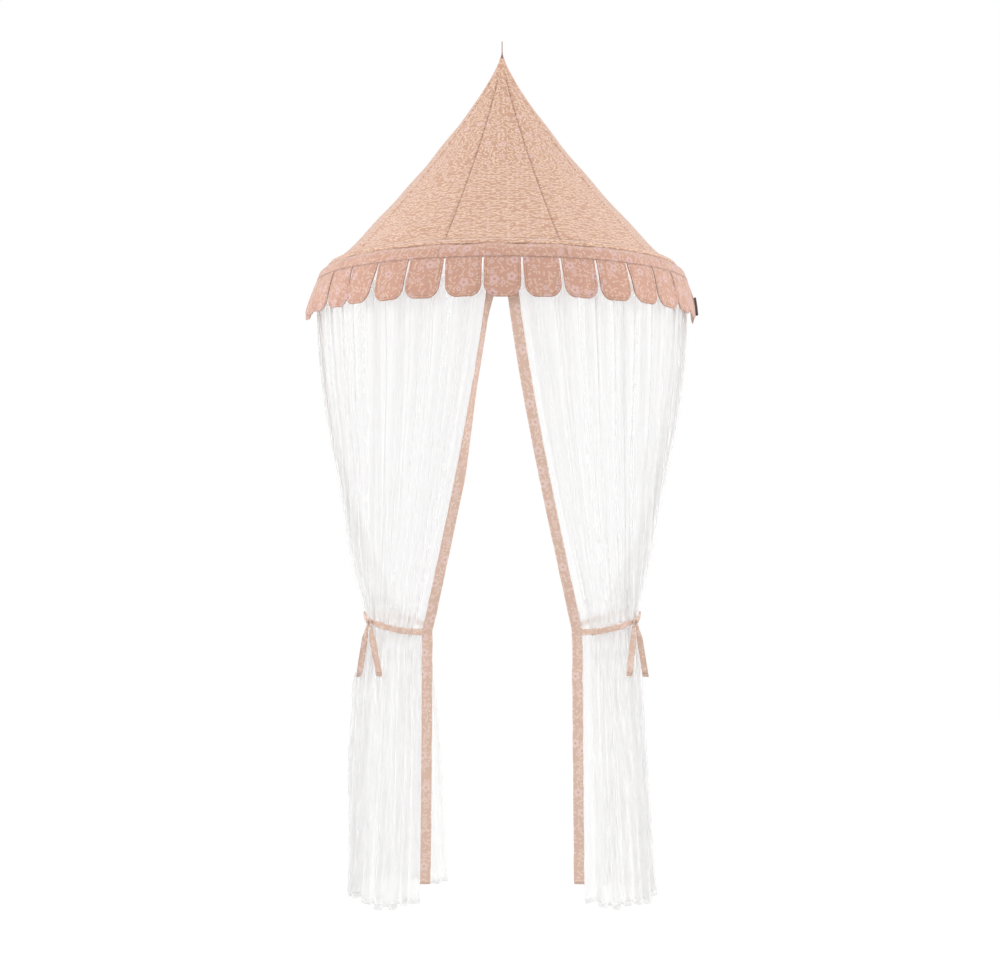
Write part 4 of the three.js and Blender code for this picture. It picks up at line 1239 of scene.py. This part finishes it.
def net_points(side, width, drop):
    """Main folds as sewn in at the heading, and finer ones that take up the rest of the cloth."""
    seed = 500 if side == "right" else 600
    side_wander, drop_wander = 0.018, 0.004
    lost_share, lost_wave, valley_shift, lean_share = 0.16, 0.15, 0.2, 0.28
    fine_folds, fine_stray, fine_share, lost_at_head = 2.5, 0.35, 0.8, 0.7
    gather_folds, gather_stray, gather_share, gather_floor = 7.0, 0.30, 0.5, 0.05
    heading_length = 0.12
    settled = smooth_step(width, 0, 0.5 / FOLD_COUNT)
    wander = Ripples(seed + 1, 0.16, 0.5)(width) * side_wander
    wander = wander + Ripples(seed + 2, 0.3, 0.9)(drop) * drop_wander
    cycle = 2 * math.pi * (FOLD_COUNT * (width + settled * wander))
    crest = np.cos(cycle)
    strength = 1 - settled * (lost_share + lost_wave * Ripples(seed + 3, 0.09, 0.26)(width))
    depth = fold_depth(drop)
    main = depth * (strength * crest - (1 - strength) * settled * valley_shift)
    lean = lean_share * depth * np.sin(2 * cycle) * settled
    whole_turns = 2 * math.pi * FOLD_COUNT
    fine_place = fine_folds * width + fine_stray * Ripples(seed + 4, 0.05, 0.2)(width)
    gather_place = gather_folds * width + gather_stray * Ripples(seed + 5, 0.03, 0.1)(width)
    room = settled * (1 - np.clip(crest, 0, 1) ** 2)
    near_head = 1 - smooth_step(drop, HEAD_DROP, HEAD_DROP + heading_length)
    fine = room * np.cos(whole_turns * fine_place) * (1 - lost_at_head * near_head)
    gather_room = np.where(near_head > 0.5, settled, room)
    gathers = np.cos(whole_turns * gather_place) * mix(gather_floor, 1, near_head) * gather_room
    along, outward = outline_directions(width, drop)
    base = curtain_outline(width, drop) + along * lean[..., None]

    def shaped(amount):
        finer = amount * (fine_share * fine + gather_share * gathers)
        return base + outward * (main + finer)[..., None]

    amounts = finer_amounts(shaped, drop.shape[0])
    flank = np.abs(np.sin(cycle)) * settled * smooth_step(depth, 0.002, BUNDLE_FOLD)
    return shaped(amounts), flank


def finer_amounts(shaped, rows):
    """How deep the finer folds are in each row, so that every row takes up the net's flat width."""
    most, halvings, blurs = 0.012, 12, 6
    low = np.zeros((rows, 1))
    high = np.full((rows, 1), most)
    for _ in range(halvings):
        middle = (low + high) / 2
        short = (row_lengths(shaped(middle)) < NET_FLAT_WIDTH)[:, None]
        low = np.where(short, middle, low)
        high = np.where(short, high, middle)
    amounts = (low + high) / 2
    for _ in range(blurs):
        amounts[1:-1] = (amounts[:-2] + amounts[1:-1] + amounts[2:]) / 3
    return amounts


def net_rows():
    """Drops from heading to hem, closer together at the tie."""
    upper_rows, lower_rows, crowding = 84, 62, 1.25
    upper = mix(HEAD_DROP, TIE_DROP, 1 - (1 - np.linspace(0, 1, upper_rows)) ** crowding)
    lower = mix(TIE_DROP, HEM_DROP, np.linspace(0, 1, lower_rows) ** crowding)
    return np.concatenate([upper, lower[1:]])


def belled_out(side, points, width, drop):
    """The net's points with its outer side fuller, and the left one spread behind the opening."""
    outer_side, fullest_above, lost_at_hem, hem_wave = 0.66, 1.42, 0.75, 0.006
    wave = Ripples(700 + (side == "left"), 0.2, 0.6)(width) * hem_wave
    points[..., 2] += wave * smooth_step(drop, 2.0, HEM_DROP) * smooth_step(width, 0, 0.1)
    below = smooth_step(drop, TIE_DROP, TIE_DROP + 0.16)
    below = below * (1 - lost_at_hem * smooth_step(drop, 1.95, HEM_DROP))
    above = bell(drop - fullest_above, 0.15) * (1 - smooth_step(drop, 1.5, TIE_DROP))
    swell = SKIRT_SWELLS[side] * below + HANG_SWELLS[side] * above
    points[..., 0] += swell * bell(width - outer_side, 0.17)
    if side == "left":
        spread = loose_share(drop) ** 0.35 * smooth_step(width, 0.80, 1.0)
        points[..., 0] -= LEFT_REAR_SPREAD * spread
        lifted = bell(width - 0.72, 0.13) * smooth_step(drop, 2.1, HEM_DROP)
        points[..., 2] += LEFT_HEM_LIFT * lifted
    return points


def net_curtain(side):
    columns = FOLD_COUNT * 24 + 1
    width, drop = np.meshgrid(np.linspace(0, 1, columns), net_rows())
    points, flank = net_points(side, width, drop)
    points = for_side(belled_out(side, points, width, drop), side)
    piece = cloth_sheet(
        f"net_curtain_{side}", points,
        cloth_uvs(width * NET_FLAT_WIDTH, drop, (3.0 if side == "left" else 0.0, 0.0)),
        NET_THICKNESS, net_material, None, [f"net_upper_{side}", f"net_lower_{side}"])
    store_share(piece, "bunched", flank)
    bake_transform(piece)


def trim_points(across, drop, facing):
    """The trim carries on from the net's edge. By a share, facing, it turns square to the front, or
    with minus inward to the wall."""
    square_on = np.array([-1.0, 0.0, 0.0])
    inward = np.array([-0.42, 0.907, 0.0])
    reach = SEAM_GAP + TRIM_WIDTH * across
    rate = np.array([[outline_length(0.0, row)] for row in drop[:, 0]])
    following = off_outline(-reach / rate, drop, fold_depth(drop))
    edge = off_outline(0 * drop, drop, fold_depth(drop))
    points = mix(following, edge + reach[..., None] * square_on, np.maximum(facing, 0)[..., None])
    return mix(points, edge + reach[..., None] * inward, np.maximum(-facing, 0)[..., None])


def opening_trim(side):
    upper_rows, lower_rows, columns, overlap = 100, 70, 15, 0.02
    wave_height, cup_depth = 0.0012, 0.0022
    front_turn, right_least_turn = 0.9, 0.6
    foot = HEM_DROP - TRIM_RISE
    upper = np.linspace(HEAD_DROP, TIE_DROP, upper_rows)
    lower = np.linspace(TIE_DROP, foot, lower_rows)
    across, drop = np.meshgrid(np.linspace(-overlap, 1, columns), np.concatenate([upper, lower[1:]]))
    facing = front_turn * smooth_step(drop, 1.15, TIE_DROP)
    if side == "right":
        facing = np.maximum(facing, right_least_turn)
    else:
        turned_in = smooth_step(drop, 0.72, 0.86) * (1 - smooth_step(drop, 0.98, 1.3))
        facing = facing - turned_in
    free = smooth_step(drop, HEAD_DROP, HEAD_DROP + 0.1)
    points = trim_points(across, drop, facing * free)
    _, outward = outline_directions(0 * across, drop)
    seed = 800 if side == "right" else 820
    waves = Ripples(seed, 0.05, 0.16)(drop + 0.2 * across * TRIM_WIDTH) * wave_height
    cup = Ripples(seed + 1, 0.15, 0.5)(drop) * cup_depth * ((across - 0.5) ** 2 * 4 - 1)
    points = for_side(points + outward * ((waves + cup) * free)[..., None], side)
    from_edge = np.minimum(across + overlap, 1 - across) * TRIM_WIDTH
    thickness, _ = turned_edge("trim", from_edge)
    piece = cloth_sheet(
        f"opening_trim_{side}", points,
        cloth_uvs(across * TRIM_WIDTH, drop, (11.0 if side == "left" else 12.0, 0)),
        thickness, trim_print, None, [f"trim_upper_{side}", f"trim_lower_{side}"], soft_rim=True)
    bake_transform(piece)


def heading_tape(side):
    columns, rows = 300, 6
    band_length, pleat_pitch, pleat_height, from_band = 0.0653, 0.009, 0.0007, 0.0006
    azimuth = np.linspace(SEAM_GAP / 2 / HEADING_RADIUS, VALANCE_END, columns)[None, :]
    share = np.linspace(1 - HEADING_HEIGHT / band_length, 1, rows)[:, None]
    pleats = np.cos(2 * math.pi * azimuth * HEADING_RADIUS / pleat_pitch) * pleat_height
    inset = TAPE_INSET + from_band + pleats
    radius, drop = off_profile(band_point(share), band_slope(share), -inset)
    piece = cloth_sheet(
        f"heading_tape_{side}_gathered", for_side(around(radius, azimuth, drop), side),
        cloth_uvs(azimuth * HEADING_RADIUS, HEADING_HEIGHT * share), TAPE_THICKNESS / 2, tape_material,
        "root", [f"heading_tape_{side}"])


# Ties


def round_bundle_share():
    return 2 * math.pi / (BUNDLE_END - BUNDLE_START)


def ribbon_end_share():
    round_share = round_bundle_share()
    return round_share - (TRIM_WIDTH + SEAM_GAP * 2) / outline_length(round_share, TIE_DROP)


def ribbon_drop(width):
    turn = math.pi * np.clip(width / ribbon_end_share(), 0, 1)
    return TIE_DROP - RIBBON_RAISE * np.sin(turn) ** 2


def tie_ribbon(side):
    columns, rows = 190, 9
    gathered_share, wander_height, edge_wave = 0.42, 0.0012, 0.0009
    pleat_height, drawn_in_depth = 0.0012, 0.007
    end = ribbon_end_share()
    start = -RIBBON_LAP / outline_length(0.0, TIE_DROP)
    width, across = np.meshgrid(np.linspace(start, end, columns), np.linspace(-0.5, 0.5, rows))
    near_knot = bell(width - KNOT_SHARE, 0.045)
    ribbon_width = RIBBON_WIDTH * (1 - gathered_share * near_knot)
    wander = Ripples(900 + (side == "left"), 0.15, 0.4)(width) * wander_height
    drop = ribbon_drop(width) + wander * smooth_step(width, 0, 0.1) + across * ribbon_width
    edges = Ripples(910 + (side == "left"), 0.03, 0.1)(width) * across * 2 * edge_wave
    pleats = np.abs(np.sin(math.pi * 3 * across)) * near_knot * pleat_height
    drawn_in = drawn_in_depth * smooth_step(width, 1.12, end)
    distance = fold_depth(drop) + RIBBON_STAND_OFF + edges + pleats - drawn_in
    points = for_side(off_outline(width, drop, distance), side)
    thickness, _ = turned_edge("ribbon", (0.5 - np.abs(across)) * RIBBON_WIDTH)
    shift = (14.0 if side == "left" else 16.0, 0)
    piece = cloth_sheet(
        f"tie_ribbon_cloth_{side}", points,
        cloth_uvs(path_lengths(points, 1), across * RIBBON_WIDTH, shift),
        thickness, trim_print, f"curtain_{side}", [f"tie_ribbon_{side}"], soft_rim=True)


def knot_place():
    drop = float(ribbon_drop(KNOT_SHARE))
    centre = off_outline(KNOT_SHARE, drop, fold_depth(drop) + KNOT_STAND_OFF)
    along, outward = outline_directions(KNOT_SHARE, drop)
    return centre, along, outward, drop


def tie_knot(side):
    """The ribbon's knot: a soft bundle of pleats pulled in by one turn across the middle."""
    steps, sides = 56, 72
    pleat_count, pleat_height, wrap_height, crease_depth = 7, 0.10, 0.14, 0.16
    centre, along, outward, _ = knot_place()
    up = np.array([0.0, 0.0, 1.0])
    share = np.linspace(-1, 1, steps)[:, None]
    angle = np.linspace(0, 2 * math.pi, sides, endpoint=False)[None, :]
    from_middle = np.abs(share)
    swell = (1 - from_middle**3.2) ** 0.5 * (0.94 + 0.06 * np.cos(share * 4))
    phase = 1.5 * share + (0.7 if side == "left" else 0)
    pleats = pleat_height * np.cos(pleat_count * angle + phase) * smooth_step(from_middle, 0.22, 0.45)
    wrap = wrap_height * np.exp(-((share / 0.27) ** 6)) * (1 + 0.25 * np.cos(2 * angle + 1))
    creases = -crease_depth * bell(from_middle - 0.34, 0.07)
    radius = np.clip(swell * (0.86 + pleats + wrap + creases), 0.02, 1.0)
    run = share * KNOT_WIDTH / 2 + 0 * angle
    height = radius * np.sin(angle) * KNOT_HEIGHT / 2
    depth = radius * np.cos(angle) * KNOT_DEPTH / 2
    rings = centre + run[..., None] * along + height[..., None] * up + depth[..., None] * outward
    piece = soft_tube(
        f"tie_knot_pleats_{side}", for_side(rings, side),
        cloth_uvs(run, angle * KNOT_HEIGHT / 2, (18.0, 1.0)),
        trim_print, f"curtain_{side}", [f"tie_knot_{side}"])
    # Painted shade: dark slits at both sides of the wrap on the knot's front, and darker pleat valleys.
    in_front = bell(np.sin(angle) + 0.2, 0.6) * smooth_step(np.cos(angle), 0, 0.2)
    store_share(piece, "painted_slit_shade", bell(from_middle - 0.45, 0.20) * in_front)
    store_share(piece, "painted_crease_shade", smooth_step(-pleats, 0.03, 0.09))
    piece.data.polygons.foreach_set("use_smooth", [True] * len(piece.data.polygons))


def tail_layout(kind, across, down):
    """How far from the knot's middle each place of a flat tail lies, and the tail's width there."""
    facts = TAILS[kind]
    width = mix(TAIL_TOP_WIDTH, RIBBON_WIDTH, smooth_step(down, -0.05, 0.3))
    middle = TAIL_GAP / 2 + TAIL_TOP_WIDTH / 2 + down * facts["length"] * math.sin(facts["splay"])
    spread = (width - TAIL_TOP_WIDTH) / 2
    return facts["side"] * (middle + spread) + (across - 0.5) * width, width


def tie_tail(side, kind):
    columns, rows = 13, 60
    wave_height, twist_height, scrunch_height = 0.0022, 0.0015, 0.0014
    hem_thickness, right_inner_lean = 0.0009, 0.011
    front_line = np.array([0.97, -0.24, 0.0])
    facts = TAILS[kind]
    _, _, _, knot_drop = knot_place()
    across, down = np.meshgrid(np.linspace(0, 1, columns), np.linspace(0, 1, rows))
    head = knot_drop + KNOT_HEIGHT / 2 + SEAM_GAP
    drop = head + down * facts["length"] * math.cos(facts["splay"])
    lateral, width = tail_layout(kind, across, down)
    seed = 1000 + 10 * (side == "left") + (kind == "outer")
    wave = Ripples(seed, 0.3, 0.8)(down) * wave_height * smooth_step(down, 0.05, 0.4)
    off_middle = (across - 0.5) * 2
    twist = Ripples(seed + 5, 0.5, 1.2)(down) * twist_height * off_middle * smooth_step(down, 0.05, 0.5)
    scrunch = scrunch_height * np.cos(3 * math.pi * off_middle) * (1 - smooth_step(down, 0.0, 0.22))
    distance = fold_depth(drop) + KNOT_STAND_OFF + down * TAIL_LEAN + wave + twist + scrunch
    on_bundle = off_outline(KNOT_SHARE + lateral / outline_length(KNOT_SHARE, TIE_DROP), drop, distance)
    spine = on_bundle[:, columns // 2, :]
    hung = mix(spine[0], spine[-1], down[:, :1])
    if (side, kind) == ("right", "inner"):
        hung[:, 0] += right_inner_lean * down[:, 0]
    hung[:, 1] = np.minimum(spine[:, 1], hung[:, 1])
    fronting = hung[:, None, :] + ((across - 0.5) * width)[..., None] * front_line
    fronting[..., 1] -= twist + scrunch
    points = for_side(mix(on_bundle, fronting, smooth_step(down, 0.0, 0.25)[..., None]), side)
    from_edge = np.minimum(across, 1 - across) * RIBBON_WIDTH
    hem = smooth_step(down, 0.925, 0.935)
    thickness, _ = turned_edge("tail", from_edge)
    piece = cloth_sheet(
        f"tie_tail_{kind}_{side}_ribbon", points,
        cloth_uvs((across - 0.5) * width, down * facts["length"], (seed * 0.037, 3.0)),
        thickness + hem_thickness * hem, trim_print, f"tail_{kind}_{side}",
        [f"tie_tail_{kind}_{side}"], soft_rim=True)
    # Painted shade: a dark line at the hem's fold and along both edges, and the turned hem a little
    # darker.
    lines = np.maximum(bell(down - 0.93, 0.012), 0.5 * bell(from_edge, 0.0016))
    store_share(piece, "painted_crease_shade", np.maximum(lines, 0.35 * hem))


# Light, floor and finish


def area_lamp(name, place, aim, size, power):
    data = bpy.data.lights.new(name, "AREA")
    data.shape = "DISK"
    data.size = size
    data.energy = power
    lamp = bpy.data.objects.new(name, data)
    lamp.location = place
    lamp.rotation_euler = (Vector(aim) - Vector(place)).to_track_quat("-Z", "Y").to_euler()
    scene.collection.objects.link(lamp)


def seen_white(graph):
    """1 where a surface is looked at straight, in a reflection or through glass."""
    path = graph.add("ShaderNodeLightPath")
    seen = graph.math("MAXIMUM", path.outputs["Is Camera Ray"], path.outputs["Is Glossy Ray"])
    return graph.math("MAXIMUM", seen, path.outputs["Is Transmission Ray"])


def pale_world():
    strength_in_light, strength_seen = 0.76, 1.0
    world = bpy.data.worlds.new("studio")
    world.use_nodes = True
    scene.world = world
    graph = Graph(world.node_tree)
    background = world.node_tree.nodes["Background"]
    graph.feed(background.inputs["Color"], (1, 1, 1, 1))
    strength = graph.add("ShaderNodeMix", data_type="FLOAT")
    graph.feed(strength.inputs[0], seen_white(graph))
    strength.inputs[2].default_value = strength_in_light
    strength.inputs[3].default_value = strength_seen
    graph.feed(background.inputs["Strength"], strength.outputs[0])


def pale_floor():
    half_width, near, far, floor_drop, seen_glow = 4.0, -4.2, 3.5, 2.42, 0.8
    corners = [(-half_width, near), (half_width, near), (half_width, far), (-half_width, far)]
    mesh = bpy.data.meshes.new("floor")
    mesh.from_pydata([(x, y, -floor_drop) for x, y in corners], [], [(0, 1, 2, 3)])
    floor = bpy.data.objects.new("floor", mesh)
    scene.collection.objects.link(floor)
    material, graph, shader = new_material("pale floor", Roughness=0.9, Emission_Color=(1, 1, 1, 1))
    seen = seen_white(graph)
    two_tone(graph, shader, seen, (226, 226, 226), (124, 124, 124))
    graph.feed(shader.inputs["Emission Strength"], graph.times(seen, seen_glow))
    mesh.materials.append(material)


set_camera()

# Flowers, buds and dots: their spacing, radius and the share that is kept. Sprigs and leaves: their
# spacing, half length, half width, bow and the share that is kept.
small_ditsy = ditsy_print_group(
    "roof ditsy", flowers=(0.043, 0.0100, 0.40), buds=(0.026, 0.0050, 0.35), dots=(0.013, 0.0022, 0.30),
    sprigs=(0.0105, 0.0100, 0.0019, 0.0012, 0.92), leaves=(0.0085, 0.0052, 0.0014, 0.0006, 0.70))
large_ditsy = ditsy_print_group(
    "valance ditsy", flowers=(0.050, 0.0122, 0.55), buds=(0.030, 0.0064, 0.50), dots=(0.012, 0.0030, 0.55),
    sprigs=(0.0190, 0.0130, 0.0019, 0.0050, 0.75), leaves=(0.0115, 0.0060, 0.0017, 0.0012, 0.60))
cotton_weave = cotton_weave_group()
roof_print = printed_cotton(
    "roof print", small_ditsy, ground=(205, 161, 136), sprig=(237, 205, 182), petal=(232, 198, 187),
    heart=(206, 158, 138), level_from=0.28)
valance_print = printed_cotton(
    "valance print", large_ditsy, ground=(203, 158, 139), sprig=(220, 184, 166), petal=(218, 182, 174),
    heart=(194, 146, 134))
trim_print = printed_cotton(
    "binding print", large_ditsy, ground=(222, 190, 173), sprig=(236, 212, 198), petal=(235, 208, 198),
    heart=(212, 176, 161))
net_material = sheer_net()
tape_material = woven_tape()
cord_material = twisted_cotton_cord()
rod_material = lacquered_rod()
plastic_material = moulded_plastic()
label_material = woven_label()

hanging_cord()
for gore in range(GORE_COUNT):
    roof_gore(gore)
roof_back()
hoop_casing()
back_rail_casing()
valance_band()
for tab in range(TAB_COUNT):
    valance_tab(tab)
side_label()
for hand in ("right", "left"):
    heading_tape(hand)
    net_curtain(hand)
    opening_trim(hand)
    tie_ribbon(hand)
    tie_knot(hand)
    for kind in TAILS:
        tie_tail(hand, kind)

kept_finishes = (
    (rod_material, ("hoop_rod_left", "hoop_rod_front", "hoop_rod_right", "back_rail")),
    (plastic_material, ("hoop_ferrule_left", "hoop_ferrule_right", "corner_elbow_left",
                        "corner_elbow_right", "apex_washer")),
)
for finish, node_names in kept_finishes:
    for node_name in node_names:
        for material_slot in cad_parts[node_name].material_slots:
            material_slot.material = finish

pale_world()
pale_floor()
area_lamp("left lamp", place=(-3.3, -1.2, 0.1), aim=(0, -0.2, -1.2), size=2.6, power=58)
area_lamp("right lamp", place=(3.3, -1.2, 0.1), aim=(0, -0.2, -1.2), size=2.6, power=54)
area_lamp("front lamp", place=(-0.5, -4.6, 0.4), aim=(0, 0, -1.3), size=2.4, power=6)

scene.view_settings.view_transform = "Standard"
scene.cycles.transparent_max_bounces = 96
